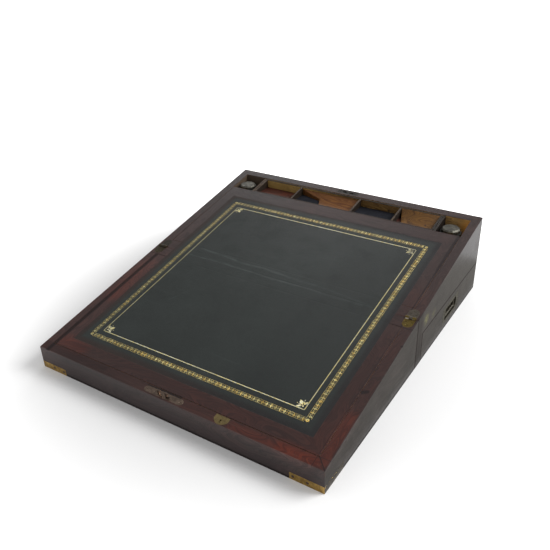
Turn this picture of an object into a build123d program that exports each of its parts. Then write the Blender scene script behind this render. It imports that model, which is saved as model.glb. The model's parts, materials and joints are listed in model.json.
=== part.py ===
"""Portable writing slope, opened flat for writing.

Two wedge-shaped halves meet at a hinge line: the base stands behind it and the lid in front of it,
so their rims make one sloping face.  The box folds shut about that line.  Units are millimetres;
X runs left to right, Y from front to back, Z up, and the origin is on the table under the hinge line.
"""

import os
from math import atan2, cos, sin, tan

from build123d import *

os.makedirs("parts", exist_ok=True)

# Driving dimensions of the closed box.
WIDTH = 450.0
DEPTH = 255.0
HEIGHT = 160.0
LIP_HEIGHT = 34.0  # the open lid's low front wall

# Boards.
WALL = 14.0
HINGE_WALL = 20.0
BOARD = 6.0
SHELF = 5.0
FLAP = 8.0
LEDGE = 8.0
PARTITION = 3.2
DIVIDER = 4.0

# Room between pieces.
RIM_DROP = 0.15  # each rim lies this far under the folding plane
FOLD_GAP = 0.2  # each hinge wall stands this far from the hinge line
FLAP_GAP = 0.5
DRAWER_GAP = 0.5
TRAY_GAP = 0.4
LET_IN = 0.1  # around metal let into wood
RUNNING_FIT = 0.08  # radial, around a turning pin

# Leather skin over both flaps and both hinge walls.
LEATHER = 1.2
LEATHER_MARGIN = 19.0
BACK_MARGIN = 26.0

# Brassware.
LEAF = 1.6
LEAF_WIDTH = 15.0
LEAF_LENGTH = 18.5
BARREL_RADIUS = 2.4
PIN_RADIUS = 0.9
KNUCKLE_GAP = 0.2
SCREW_HEAD_RADIUS = 1.9
SCREW_RADIUS = 1.0
SCREW_LENGTH = 8.0
STRAP = 1.2
STRAP_HEIGHT = 10.0
STRAP_LEG = 45.0
STRAP_SCREW_SHARES = (0.48, 0.9)  # from the corner along a leg

# Worked out from the above.
HALF_WIDTH = WIDTH / 2
FOLD_HEIGHT = HEIGHT / 2
PITCH = atan2(FOLD_HEIGHT - LIP_HEIGHT, DEPTH)
INNER_X = HALF_WIDTH - WALL
INNER_Y = DEPTH - WALL
LEATHER_X = INNER_X - LEATHER_MARGIN
FLAP_TOP = RIM_DROP
FLAP_UNDERSIDE = FLAP_TOP + FLAP
ALL = (-2 * WIDTH, 2 * WIDTH)

# The writing face: X across the box, Y up the slope from the hinge line, Z square out of it.
FACE = Plane(
    origin=(0, 0, FOLD_HEIGHT),
    x_dir=(1, 0, 0),
    z_dir=(0, -sin(PITCH), cos(PITCH)),
)

# Side drawer under the base's paper well.
DRAWER_TOP = 0.3 * HEIGHT
DRAWER_SIDE = 7.0
DRAWER_BOTTOM = 3.0
DRAWER_GROOVE = 3.0

# Pen well across the back of the base.
WELL_WIDTH = 45.7
WELL_FRONT = INNER_Y - WELL_WIDTH
WELL_FLOOR = DRAWER_TOP + 4 * SHELF
CELL_WIDTH = 40.0
DIVIDER_X = INNER_X - CELL_WIDTH - DIVIDER / 2
BULKHEAD = 5.0

# Lift-out pen tray between the inkwell cells.
TRAY_FLOOR = 4.0
TRAY_DEPTH = 15.5  # from the rim at the back down to the tray's floor
TRAY_TOP_DROP = 0.7
TRAY_X = DIVIDER_X - DIVIDER / 2 - TRAY_GAP
TRAY_FRONT = WELL_FRONT + TRAY_GAP
TRAY_BACK = INNER_Y - TRAY_GAP
TRAY_WALL = 3.2
PARTITION_SHARES = (-0.545, 0.138, 0.58)  # from the tray's middle, of its half length
PEN_REST_LIP = 0.8
REST_CREST = 4.0  # of the pen rest under the rim
SCOOP_CREST = 1.0  # of the right-hand block under the rim
SCOOP_SAG = (0.56, 0.2)  # a point of the scoop's curve: share of its run, and of its rise
LINING = 1.6
LINING_GAP = 0.6


def run(y):
    """Distance along the writing face for a distance y measured level."""
    return y / cos(PITCH)


def face_z(y):
    """Height of the writing face above the table at y."""
    return FOLD_HEIGHT + y * tan(PITCH)


def block(x, y, z, plane=Plane.XY):
    """A box between (low, high) pairs along the plane's own axes."""
    spans = [sorted(pair) for pair in (x, y, z)]
    size = [high - low for low, high in spans]
    middle = [(high + low) / 2 for low, high in spans]
    return plane * Pos(*middle) * Box(*size)


def prism(outline, low, high):
    """A level outline carried up from low to high."""
    face = make_face(Polyline(*outline, close=True))
    return Pos(0, 0, low) * extrude(face, amount=high - low, dir=(0, 0, 1))


def under_face(shape, depth=RIM_DROP):
    """The shape with everything nearer the writing face than depth cut off."""
    return shape - block(ALL, ALL, (-depth, 2 * HEIGHT), FACE)


def face_strip(x, y, depth, thickness):
    """An upright-sided strip lying depth under the writing face."""
    strip = under_face(block(x, y, (0, HEIGHT)), depth)
    return strip - block(ALL, ALL, (-depth - thickness, -2 * HEIGHT), FACE)


def group(shapes):
    """Several separate solids kept as one node."""
    return Compound(children=[solid for shape in shapes for solid in shape.solids()])


# Screws


def screw_shape(room=0.0):
    """A countersunk screw pointing down from a head level with Z = 0, with room all round it."""
    head_depth = SCREW_HEAD_RADIUS - SCREW_RADIUS
    head = Cone(
        SCREW_RADIUS + room,
        SCREW_HEAD_RADIUS + room,
        head_depth,
        align=(Align.CENTER, Align.CENTER, Align.MAX),
    )
    shank = Cylinder(
        SCREW_RADIUS + room,
        SCREW_LENGTH + room,
        align=(Align.CENTER, Align.CENTER, Align.MAX),
    )
    return head + shank


def screw():
    """A countersunk screw with a slot across its head."""
    slot = Box(4 * SCREW_HEAD_RADIUS, SCREW_RADIUS / 2, SCREW_RADIUS)
    return screw_shape() - slot


def screws_at(places):
    return group([place * screw() for place in places])


def screw_holes(places):
    return [place * screw_shape(LET_IN) for place in places]


# Hinges: a round-ended leaf on each half, three knuckles and a pin

HINGE_MARGIN = 3.5  # wood left outside each leaf
HINGE_X = HALF_WIDTH - HINGE_MARGIN - LEAF_WIDTH / 2
KNUCKLE = (LEAF_WIDTH - 2 * KNUCKLE_GAP) / 3
LEAF_CLEAR = BARREL_RADIUS + 2 * KNUCKLE_GAP
LEAF_SCREW_SHARES = ((-0.27, 0.42), (0.27, 0.42), (0.0, 0.76))  # across and along a leaf, as shares of it


def leaf_outline(side, room=0.0):
    """The let-in plate of one leaf, centred on X = 0, on the writing face."""
    radius = LEAF_WIDTH / 2 + room
    middle = side * (LEAF_LENGTH - LEAF_WIDTH / 2)
    depth = (-RIM_DROP - LEAF - room / 2, -RIM_DROP if room == 0 else BARREL_RADIUS)
    plate = block((-radius, radius), (0, middle), depth)
    end = Pos(0, middle, (depth[0] + depth[1]) / 2) * Cylinder(radius, depth[1] - depth[0])
    return plate + end


def knuckle(x):
    """One knuckle centred at x along the pin, not yet bored."""
    return Pos(x, 0, 0) * Rot(0, 90, 0) * Cylinder(BARREL_RADIUS, KNUCKLE)


def hinge_leaf(side, hand):
    """The leaf on the base (side 1, middle knuckle) or the lid (side -1, outer knuckles)."""
    step = KNUCKLE + KNUCKLE_GAP
    own = [0] if side == 1 else [-step, step]
    others = [-step, step] if side == 1 else [0]
    leaf = leaf_outline(side)
    for x in others:
        reach = KNUCKLE / 2 + KNUCKLE_GAP
        leaf -= block((x - reach, x + reach), (-LEAF_CLEAR, LEAF_CLEAR), ALL)
    leaf -= block(ALL, (0, -side * LEAF_LENGTH), ALL)
    for x in own:
        leaf += knuckle(x)
    leaf -= Rot(0, 90, 0) * Cylinder(PIN_RADIUS + RUNNING_FIT, 2 * LEAF_WIDTH)
    leaf = FACE * Pos(hand * HINGE_X, 0, 0) * leaf
    for hole in screw_holes(leaf_screw_places(side, hand)):
        leaf -= hole
    return leaf


def leaf_screw_places(side, hand):
    """Two screws beside the barrel and one near the round end."""
    places = []
    for x, along in LEAF_SCREW_SHARES:
        place = Pos(hand * HINGE_X + x * LEAF_WIDTH, side * along * LEAF_LENGTH, -RIM_DROP)
        places.append(FACE.location * place)
    return places


def hinge_recess(side, hand):
    """Wood taken away for one leaf and for the barrel."""
    barrel = Rot(0, 90, 0) * Cylinder(LEAF_CLEAR, LEAF_WIDTH + 4 * KNUCKLE_GAP)
    return FACE * Pos(hand * HINGE_X, 0, 0) * (leaf_outline(side, LET_IN) + barrel)


def hinge_pin(hand):
    return FACE * Pos(hand * HINGE_X, 0, 0) * Rot(0, 90, 0) * Cylinder(PIN_RADIUS, LEAF_WIDTH)


# Walls of the two halves; side is 1 for the base and -1 for the lid, hand is 1 for the right


def end_wall(side):
    """The mitred wall farthest from the hinge line."""
    outline = [
        (-HALF_WIDTH, side * DEPTH),
        (HALF_WIDTH, side * DEPTH),
        (INNER_X, side * INNER_Y),
        (-INNER_X, side * INNER_Y),
    ]
    return under_face(prism(outline, 0, HEIGHT))


def side_wall(side, hand):
    """A side wall, mitred at its far end and cut for its hinge."""
    outline = [
        (hand * HALF_WIDTH, side * FOLD_GAP),
        (hand * HALF_WIDTH, side * DEPTH),
        (hand * INNER_X, side * INNER_Y),
        (hand * INNER_X, side * FOLD_GAP),
    ]
    wall = under_face(prism(outline, 0, HEIGHT)) - hinge_recess(side, hand)
    for hole in screw_holes(leaf_screw_places(side, hand)):
        wall -= hole
    return wall


def hinge_wall(side):
    """The wall beside the hinge line, cut for the hinges and for the leather on its top."""
    wall = under_face(block((-INNER_X, INNER_X), (side * FOLD_GAP, side * HINGE_WALL), (0, HEIGHT)))
    wall -= block((-LEATHER_X, LEATHER_X), ALL, (-RIM_DROP - LEATHER, HEIGHT), FACE)
    for hand in (-1, 1):
        wall -= hinge_recess(side, hand)
        for hole in screw_holes(leaf_screw_places(side, hand)):
            wall -= hole
    return wall


def inner_board(side, low, thickness):
    """A level board filling one half between its walls."""
    return block((-INNER_X, INNER_X), (side * HINGE_WALL, side * INNER_Y), (low, low + thickness))


def hinge_leather(side):
    """The skin over the top of one hinge wall."""
    return face_strip((-LEATHER_X, LEATHER_X), (side * FOLD_GAP, side * HINGE_WALL), RIM_DROP, LEATHER)


# Flaps: leather-topped boards hinged by the skin along the hinge walls

FLAP_X = INNER_X - FLAP_GAP
FLAP_HINGE = run(HINGE_WALL) + FLAP_GAP
FRONT_FLAP_END = run(INNER_Y) - FLAP_GAP
REAR_FLAP_END = run(WELL_FRONT)


def flap_span(side):
    """Start and end of a flap, up the writing face from the hinge line."""
    return side * FLAP_HINGE, side * (REAR_FLAP_END if side == 1 else FRONT_FLAP_END)


def leather_span(side):
    near, far = flap_span(side)
    margin = BACK_MARGIN if side == 1 else LEATHER_MARGIN
    return near, far - side * margin


def upright_edges(shape):
    """The shape with its edges beside the hinge walls and the pen well cut upright to clear them."""
    reach = HINGE_WALL + FLAP_GAP
    return shape - block(ALL, (-reach, reach), ALL) - block(ALL, (WELL_FRONT, 2 * DEPTH), ALL)


def flap_board(side):
    board = block((-FLAP_X, FLAP_X), flap_span(side), (-FLAP_UNDERSIDE, -FLAP_TOP), FACE)
    near, far = leather_span(side)
    inset = block((-LEATHER_X, LEATHER_X), (0, far), (-FLAP_TOP - LEATHER, 0), FACE)
    return upright_edges(board - inset)


def flap_leather(side):
    skin = block((-LEATHER_X, LEATHER_X), leather_span(side), (-FLAP_TOP - LEATHER, -FLAP_TOP), FACE)
    return upright_edges(skin)


def side_ledges(side, far):
    """Strips glued to the side walls for a flap to close on."""
    strips = []
    for hand in (-1, 1):
        x = (hand * (INNER_X - LEDGE), hand * INNER_X)
        strips.append(face_strip(x, (side * HINGE_WALL, far), FLAP_UNDERSIDE + RIM_DROP, LEDGE))
    return group(strips)


def front_ledge():
    """The strip glued to the lid's front wall between its side ledges."""
    x = LEDGE - INNER_X
    return face_strip((x, -x), (-INNER_Y, LEDGE - INNER_Y), FLAP_UNDERSIDE + RIM_DROP, LEDGE)


# Corner straps: brass let into the lid's front corners, down by the table


def corner_strap(hand, room=0.0):
    """A strap bent round a front corner, one leg on the front wall and one on the side wall."""
    leg = STRAP_LEG + room
    height = STRAP_HEIGHT + room
    outer_x, inner_x = hand * HALF_WIDTH, hand * (HALF_WIDTH - leg)
    front, back = -DEPTH, leg - DEPTH
    whole = block((inner_x, outer_x), (front, back), (0, height))
    inside = block((inner_x, outer_x - hand * STRAP), (front + STRAP, back), ALL)
    return whole - inside


def strap_screw_places(hand):
    """Two screws in each leg, at the same distances from the corner."""
    front = Plane(origin=(hand * HALF_WIDTH, -DEPTH, STRAP_HEIGHT / 2), x_dir=(1, 0, 0), z_dir=(0, -1, 0))
    side = Plane(origin=(hand * HALF_WIDTH, -DEPTH, STRAP_HEIGHT / 2), x_dir=(0, 1, 0), z_dir=(hand, 0, 0))
    places = []
    for share in STRAP_SCREW_SHARES:
        places.append(front.location * Pos(-hand * share * STRAP_LEG, 0, 0))
        places.append(side.location * Pos(share * STRAP_LEG, 0, 0))
    return places


# Main lock: case, selvedge and bolt in the base's back wall; hooked link plate on the lid's front rail

LOCK_X = -0.0125 * WIDTH  # the whole lock sits a little left of the middle
LOCK_Y = DEPTH - WALL / 2
LOCK_LINE = run(LOCK_Y)  # middle of the rims, up the writing face
PLATE = 1.5
PLATE_WIDTH = 9.0
LINK_LENGTH = 62.0
SELVEDGE_LENGTH = 40.0
HOOK_SPACING = 12.0
HOOK_STEM = 2.5
HOOK_REACH = 5.5
HOOK_HEIGHT = 6.5
HOOK_ARM = 2.0
HOOK_THICKNESS = 2.0
HOOK_ROOM = 0.4
BOLT_THROW = 3.0
BOLT_THICKNESS = 2.0
BOLT_BAR = 8.0  # height of the bar that carries the tongues
LOCK_CASE = (36.0, 8.0, 26.0)
CASE_WALL = 1.2
LINK_SCREW = LINK_LENGTH / 2 - PLATE_WIDTH / 2 + 0.5  # outer screws, near the middles of the round ends
LINK_SCREWS_AT = (-LINK_SCREW, -LINK_SCREW / 2, LINK_SCREW)


def rounded_plate(length, width, thickness):
    """A round-ended plate whose top is at Z = 0."""
    return Pos(0, 0, -thickness) * extrude(SlotOverall(length, width), amount=thickness)


def hook_lefts():
    """Left faces of the two hooks along X."""
    span = HOOK_SPACING + HOOK_REACH
    return [-span / 2, -span / 2 + HOOK_SPACING]


def link_plate():
    """The plate and its two hooks, in the lid's rim."""
    plate = Pos(0, 0, -RIM_DROP) * rounded_plate(LINK_LENGTH, PLATE_WIDTH, PLATE)
    half = HOOK_THICKNESS / 2
    for left in hook_lefts():
        plate += block((left, left + HOOK_STEM), (-half, half), (-PLATE, HOOK_HEIGHT))
        plate += block((left, left + HOOK_REACH), (-half, half), (HOOK_HEIGHT - HOOK_ARM, HOOK_HEIGHT))
    plate = FACE * Pos(LOCK_X, -LOCK_LINE, 0) * plate
    for hole in screw_holes(link_screw_places()):
        plate -= hole
    return plate


def link_screw_places():
    return [FACE.location * Pos(LOCK_X + x, -LOCK_LINE, -RIM_DROP) for x in LINK_SCREWS_AT]


def hook_slots(low, high):
    """Room for both hooks to drop through the lock's top."""
    half = HOOK_THICKNESS / 2 + HOOK_ROOM
    slots = []
    for left in hook_lefts():
        x = (left - HOOK_ROOM, left + HOOK_REACH + HOOK_ROOM)
        slots.append(block(x, (-half, half), (low, high)))
    return slots


def lock_selvedge():
    """The lock's top plate in the base's back rim, with a slot for each hook."""
    plate = Pos(0, 0, -RIM_DROP) * rounded_plate(SELVEDGE_LENGTH, PLATE_WIDTH, PLATE)
    for slot in hook_slots(-2 * PLATE, PLATE):
        plate -= slot
    return FACE * Pos(LOCK_X, LOCK_LINE, 0) * plate


# The lock itself stands upright in the wall; its Z is measured from the writing face.
LOCK = Plane(origin=(LOCK_X, LOCK_Y, face_z(LOCK_Y)))
CASE_TOP = -RIM_DROP - 2 * PLATE
KEY_DEPTH = 17.0  # of the keyhole under the rim
KEYHOLE_RADIUS = 1.6
KEYHOLE_SLIT = 1.3
KEYHOLE_LENGTH = 6.0


def keyhole(depth, size=1.0):
    """A round hole with a slit under it, bored depth both ways along Z."""
    half = size * KEYHOLE_SLIT / 2
    slit = block((-half, half), (-size * KEYHOLE_LENGTH, 0), (-depth, depth))
    return Cylinder(size * KEYHOLE_RADIUS, 2 * depth) + slit


def key_plane():
    """On the back wall's outer face, looking out of it, at the main lock's keyhole."""
    middle = (LOCK_X, DEPTH, face_z(DEPTH) - KEY_DEPTH)
    return Plane(origin=middle, x_dir=(-1, 0, 0), z_dir=(0, 1, 0))


def lock_case():
    """The lock's hollow case, open at the top where the hooks come in."""
    length, width, height = LOCK_CASE
    bottom = CASE_TOP - height
    case = block((-length / 2, length / 2), (-width / 2, width / 2), (bottom, CASE_TOP))
    half = length / 2 - CASE_WALL
    inside = block((-half, half), (CASE_WALL - width / 2, width / 2 - CASE_WALL), (bottom + CASE_WALL, 0))
    return LOCK * (case - inside) - key_plane() * keyhole(WALL / 2)


def lock_bolt():
    """The sliding bolt: a bar with two tongues that slide over the hooks' arms."""
    half = BOLT_THICKNESS / 2
    back = HOOK_HEIGHT / 2 * sin(PITCH)  # the hooks lean this far back at half their depth
    top = -RIM_DROP - PLATE - 2 * HOOK_ROOM
    tongue_bottom = -HOOK_HEIGHT + HOOK_ARM + HOOK_ROOM
    bar_top = -HOOK_HEIGHT - 2 * HOOK_ROOM
    length = LOCK_CASE[0] - 2 * CASE_WALL - BOLT_THROW - 4 * HOOK_ROOM
    right = LOCK_CASE[0] / 2 - CASE_WALL - HOOK_ROOM
    bolt = block((right - length, right), (-half, half), (bar_top - BOLT_BAR, bar_top))
    for left in hook_lefts():
        tip = left + HOOK_REACH + HOOK_ROOM / 2
        stem = tip + BOLT_THROW + HOOK_ROOM / 2
        bolt += block((stem, stem + BOLT_THICKNESS), (-half, half), (bar_top - half, top))
        bolt += block((tip, stem + half), (-half, half), (tongue_bottom, top))
    return LOCK * Pos(0, back, 0) * bolt


def lock_mortise():
    """Wood taken out of the back wall for the lock."""
    length, width, height = (size + 2 * LET_IN for size in LOCK_CASE)
    pocket = block((-length / 2, length / 2), (-width / 2, width / 2), (CASE_TOP - height, 0))
    plate = rounded_plate(SELVEDGE_LENGTH + 2 * LET_IN, PLATE_WIDTH + 2 * LET_IN, PLATE + RIM_DROP)
    return LOCK * pocket + FACE * Pos(LOCK_X, LOCK_LINE, 0) * plate


ESCUTCHEON = (13.0, 20.0, 1.2)  # width, length and thickness


def escutcheon(room=0.0):
    """The round-ended plate about the keyhole, let in flush with the back wall."""
    width, length, thickness = ESCUTCHEON
    plane = key_plane()
    plate = plane * Pos(0, -KEYHOLE_LENGTH / 3, 0) * Rot(0, 0, 90) * rounded_plate(
        length + 2 * room, width + 2 * room, thickness
    )
    return plate if room else plate - plane * keyhole(WALL / 2)


# Flap lock: case with its shield plate in the lid's front rail, and a bolt into the flap's edge

FLAP_LOCK_X = 0.366 * HALF_WIDTH
SHIELD_WIDTH = 20.0
SHIELD_LENGTH = 12.6
FLAP_LOCK_CASE = (15.0, 8.0, 12.0)
FLAP_BOLT = (7.0, 9.5, 2.6)
FLAP_BOLT_DEPTH = 3.4
FLAP_BOLT_THROW = 4.5
FLAP_BOLT_ROOM = 0.3
SHIELD_MARGIN = 1.0  # wood between the shield and the flap's edge
SHIELD_LINE = run(INNER_Y) + SHIELD_MARGIN + SHIELD_LENGTH / 2
FLAP_BOLT_BACK = -SHIELD_LINE - FLAP_BOLT[2]  # its tail, drawn back just past the keyhole
FLAP_KEYHOLE = 0.7  # its keyhole against the main lock's


def shield_outline(room=0.0):
    """A shield with its straight edge towards the flap."""
    wide, long = SHIELD_WIDTH / 2 + room, SHIELD_LENGTH / 2 + room
    top = [(-wide, long), (wide, long), (wide, 0)]
    left = [(-wide, 0), (-wide, long)]
    curve = ThreePointArc((wide, 0), (0, -long), (-wide, 0))
    return make_face([Polyline(*top), curve, Polyline(*left)])


def flap_lock_place():
    return FACE.location * Pos(FLAP_LOCK_X, -SHIELD_LINE, -RIM_DROP)


def flap_bolt(room=0.0, throw=0.0):
    """The flap lock's bolt drawn back, or with room and throw the space that it slides in."""
    width, length, height = FLAP_BOLT
    x = (FLAP_LOCK_X - width / 2 - room, FLAP_LOCK_X + width / 2 + room)
    along = (FLAP_BOLT_BACK - room, FLAP_BOLT_BACK + length + throw + room)
    return block(x, along, (-FLAP_BOLT_DEPTH - height - room, room - FLAP_BOLT_DEPTH), FACE)


def flap_bolt_channel():
    """The space the bolt slides in, from the case out into the flap's edge."""
    return flap_bolt(FLAP_BOLT_ROOM, FLAP_BOLT_THROW)


def flap_lock():
    """The small lock: a hollow case under its shield plate."""
    width, length, height = FLAP_LOCK_CASE
    shield = extrude(shield_outline(), amount=-PLATE)
    case = block((-width / 2, width / 2), (-length / 2, length / 2), (-height, -PLATE))
    lock = flap_lock_place() * (shield + case)
    lock -= flap_bolt_channel()
    return lock - flap_lock_place() * keyhole(height / 2, FLAP_KEYHOLE)


def flap_lock_mortise():
    """Wood taken out of the lid's front wall for the flap lock."""
    width, length, height = (size + 2 * LET_IN for size in FLAP_LOCK_CASE)
    shield = extrude(shield_outline(LET_IN), amount=-PLATE) + extrude(shield_outline(LET_IN), amount=PLATE)
    case = block((-width / 2, width / 2), (-length / 2, length / 2), (-height, 0))
    return flap_lock_place() * (shield + case) + flap_bolt_channel()


# Flush handles: a plate with a sunk cup and a hanging bail

HANDLE = (66.0, 28.0)
HANDLE_PLATE = 2.0
HANDLE_CORNER = 3.0
HANDLE_SCREW_INSET = (3.6, 4.4)  # from the plate's ends and edges
CUP = (48.0, 18.0)
CUP_DEPTH = 6.2
CUP_WALL = 1.4
BAIL_RADIUS = 1.7
BAIL_WIDTH = 40.0
BAIL_DROP = 11.0
BAIL_PIVOT = (5.6, -2.6)  # above the plate's middle, and behind its face
PIVOT_RADIUS = 1.1
HANDLE_Y = (HINGE_WALL + DEPTH) / 2
HANDLE_Z = DRAWER_TOP / 2


def handle_plane(hand):
    """On a side wall's outer face, looking out of it, at the handle's middle."""
    return Plane(origin=(hand * HALF_WIDTH, HANDLE_Y, HANDLE_Z), x_dir=(0, hand, 0), z_dir=(hand, 0, 0))


def handle_body(room=0.0):
    """Plate and cup together, before the cup is hollowed."""
    length, height = (size + 2 * room for size in HANDLE)
    plate = Pos(0, 0, -HANDLE_PLATE - room) * extrude(
        RectangleRounded(length, height, HANDLE_CORNER), amount=HANDLE_PLATE + room
    )
    reach = [size / 2 + CUP_WALL + room for size in CUP]
    back = -CUP_DEPTH - CUP_WALL - room
    cup = block((-reach[0], reach[0]), (-reach[1], reach[1]), (back, -HANDLE_PLATE / 2))
    return plate + cup


def pivot_pins(radius, length):
    """Both ends of the bail's pivot line, as one rod from side to side."""
    up, out = BAIL_PIVOT
    return Pos(0, up, out) * Rot(0, 90, 0) * Cylinder(radius, length)


def handle_plate(hand):
    """The flush plate with its sunk cup, bored for the bail and the screws."""
    hollow = Pos(0, 0, -CUP_DEPTH) * extrude(RectangleRounded(*CUP, HANDLE_CORNER), amount=2 * CUP_DEPTH)
    body = handle_body() - hollow - pivot_pins(PIVOT_RADIUS + RUNNING_FIT, CUP[0] + CUP_WALL)
    body = handle_plane(hand) * body
    for hole in screw_holes(handle_screw_places(hand)):
        body -= hole
    return body


def handle_screw_places(hand):
    """One screw near each corner of the plate."""
    x, y = (size / 2 - inset for size, inset in zip(HANDLE, HANDLE_SCREW_INSET))
    corners = [(-x, -y), (-x, y), (x, -y), (x, y)]
    return [handle_plane(hand).location * Pos(*corner, 0) for corner in corners]


def handle_bail(hand):
    """The bail hanging in its cup: two arms, a grip and the pivot pins."""
    up, out = BAIL_PIVOT
    half = BAIL_WIDTH / 2 - BAIL_RADIUS
    arm = Rot(90, 0, 0) * Cylinder(BAIL_RADIUS, BAIL_DROP, align=(Align.CENTER, Align.CENTER, Align.MIN))
    bail = Pos(0, up - BAIL_DROP, out) * Rot(0, 90, 0) * Cylinder(BAIL_RADIUS, 2 * half)
    for x in (-half, half):
        bail += Pos(x, up, out) * arm
        bail += Pos(x, up - BAIL_DROP, out) * Sphere(BAIL_RADIUS)
        bail += Pos(x, up, out) * Sphere(BAIL_RADIUS)
    bail += pivot_pins(PIVOT_RADIUS, CUP[0] + CUP_WALL / 2) - block((-half, half), ALL, ALL)
    return handle_plane(hand) * bail


# Side drawer

DRAWER_LOW = BOARD + DRAWER_GAP
DRAWER_HIGH = DRAWER_TOP - 2 * DRAWER_GAP
DRAWER_Y = (HINGE_WALL + DRAWER_GAP, INNER_Y - DRAWER_GAP)
DRAWER_END = 2 * DRAWER_GAP - INNER_X


def drawer_opening():
    """Taken from the base's right and back walls where the drawer's front fits."""
    return block((INNER_X, 2 * HALF_WIDTH), (HINGE_WALL, 2 * DEPTH), (-1, DRAWER_TOP))


def drawer_bottom():
    groove = DRAWER_GROOVE
    x = (DRAWER_END + DRAWER_SIDE - groove, INNER_X + groove)
    y = (DRAWER_Y[0] + DRAWER_SIDE - groove, DRAWER_Y[1] - DRAWER_SIDE + groove)
    return block(x, y, (DRAWER_LOW + groove / 2, DRAWER_LOW + groove / 2 + DRAWER_BOTTOM))


def drawer_front():
    """The drawer's face, lying flush with the base's right side."""
    y = (HINGE_WALL + DRAWER_GAP, DEPTH)
    front = block((INNER_X, HALF_WIDTH), y, (DRAWER_GAP, DRAWER_TOP - DRAWER_GAP)) - drawer_bottom()
    front -= handle_plane(1) * handle_body(LET_IN)
    for hole in screw_holes(handle_screw_places(1)):
        front -= hole
    return front


def drawer_sides():
    near = (DRAWER_Y[0], DRAWER_Y[0] + DRAWER_SIDE)
    far = (DRAWER_Y[1] - DRAWER_SIDE, DRAWER_Y[1])
    boards = []
    for y in (near, far):
        boards.append(block((DRAWER_END, INNER_X), y, (DRAWER_LOW, DRAWER_HIGH)) - drawer_bottom())
    return group(boards)


def drawer_end():
    y = (DRAWER_Y[0] + DRAWER_SIDE, DRAWER_Y[1] - DRAWER_SIDE)
    return block((DRAWER_END, DRAWER_END + DRAWER_SIDE), y, (DRAWER_LOW, DRAWER_HIGH)) - drawer_bottom()


# Pen well


def well_bulkhead():
    """The wall in front of the pen well, under the rear flap's back edge."""
    wall = block((-INNER_X, INNER_X), (WELL_FRONT - BULKHEAD, WELL_FRONT), (WELL_FLOOR - SHELF, HEIGHT))
    return under_face(wall, FLAP_UNDERSIDE + RIM_DROP)


def well_floor():
    return block((-INNER_X, INNER_X), (WELL_FRONT, INNER_Y), (WELL_FLOOR - SHELF, WELL_FLOOR))


def well_dividers():
    """The walls between the inkwell cells and the pen tray."""
    walls = []
    for hand in (-1, 1):
        x = (hand * DIVIDER_X - DIVIDER / 2, hand * DIVIDER_X + DIVIDER / 2)
        walls.append(under_face(block(x, (WELL_FRONT, INNER_Y), (WELL_FLOOR, HEIGHT)), TRAY_TOP_DROP))
    return group(walls)


TRAY_TOP = face_z(TRAY_BACK) - TRAY_DEPTH  # upper side of the tray's floor
TRAY_LOW = TRAY_TOP - TRAY_FLOOR


def tray_rests():
    """Strips on the dividers that hold the tray up, over the hidden space below it."""
    strips = []
    for hand in (-1, 1):
        edge = hand * (DIVIDER_X - DIVIDER / 2)
        y = (WELL_FRONT, INNER_Y)
        strips.append(block((edge - hand * LEDGE, edge), y, (TRAY_LOW - LEDGE, TRAY_LOW)))
    return group(strips)


def tray_floor():
    return block((-TRAY_X, TRAY_X), (TRAY_FRONT, TRAY_BACK), (TRAY_LOW, TRAY_TOP))


def tray_long_walls():
    """The tray's front and back walls, standing on its floor."""
    front = (TRAY_FRONT, TRAY_FRONT + TRAY_WALL)
    back = (TRAY_BACK - TRAY_WALL, TRAY_BACK)
    walls = []
    for y in (front, back):
        walls.append(under_face(block((-TRAY_X, TRAY_X), y, (TRAY_TOP, HEIGHT)), TRAY_TOP_DROP))
    return group(walls)


def partition_centres():
    """Middles of the tray's end walls and partitions, from left to right."""
    end = TRAY_X - PARTITION / 2
    return [-end] + [share * TRAY_X for share in PARTITION_SHARES] + [end]


def tray_inner_y():
    return TRAY_FRONT + TRAY_WALL, TRAY_BACK - TRAY_WALL


def tray_partitions():
    walls = []
    for x in partition_centres():
        span = (x - PARTITION / 2, x + PARTITION / 2)
        walls.append(under_face(block(span, tray_inner_y(), (TRAY_TOP, HEIGHT)), TRAY_TOP_DROP))
    return group(walls)


def compartment(index):
    """Clear span along X of one of the tray's four compartments, counted from the left."""
    centres = partition_centres()
    return centres[index] + PARTITION / 2, centres[index + 1] - PARTITION / 2


def scooped_block(x, drop):
    """A block whose top sweeps in a hollow curve from drop under the rim at the back to its front."""
    front, back = tray_inner_y()
    crest = face_z(back) - drop
    low = TRAY_TOP + PEN_REST_LIP
    middle = (front + SCOOP_SAG[0] * (back - front), low + SCOOP_SAG[1] * (crest - low))
    side = Plane(origin=(x[0], 0, 0), x_dir=(0, 1, 0), z_dir=(1, 0, 0))
    edges = [
        ThreePointArc((back, crest), middle, (front, low)),
        Polyline((front, low), (front, TRAY_TOP), (back, TRAY_TOP), (back, crest)),
    ]
    return extrude(side * make_face(edges), amount=x[1] - x[0])


REST_HOLLOW = 0.47  # share of the pen rest's front cut away for the lined hollow
REST_KNEE = (0.36, 0.7)  # the hollow's outer corner, as shares of the compartment
SCOOP_HOLLOW = 0.22  # share of the right-hand block's front cut away for a finger


def hollow_corners(room=0.0):
    """The lined hollow beside the pen rest, seen from above, clear of the rest by room."""
    left, right = compartment(1)
    front, back = tray_inner_y()
    knee = (left + REST_KNEE[0] * (right - left) - room, front + REST_KNEE[1] * (back - front) - room)
    return [(left, front), (left + REST_HOLLOW * (right - left) - room, front), knee, (left, back - room)]


def pen_rest():
    """The scooped block in the second compartment, with its front left corner cut away."""
    return scooped_block(compartment(1), REST_CREST) - prism(hollow_corners(), TRAY_LOW, HEIGHT)


def pen_scoop():
    """The scooped block in the right-hand compartment, with a narrow corner cut away."""
    left, right = compartment(3)
    front, back = tray_inner_y()
    corner = [(left, front), (left + SCOOP_HOLLOW * (right - left), front), (left, back)]
    return scooped_block((left, right), SCOOP_CREST) - prism(corner, TRAY_LOW, HEIGHT)


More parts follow.
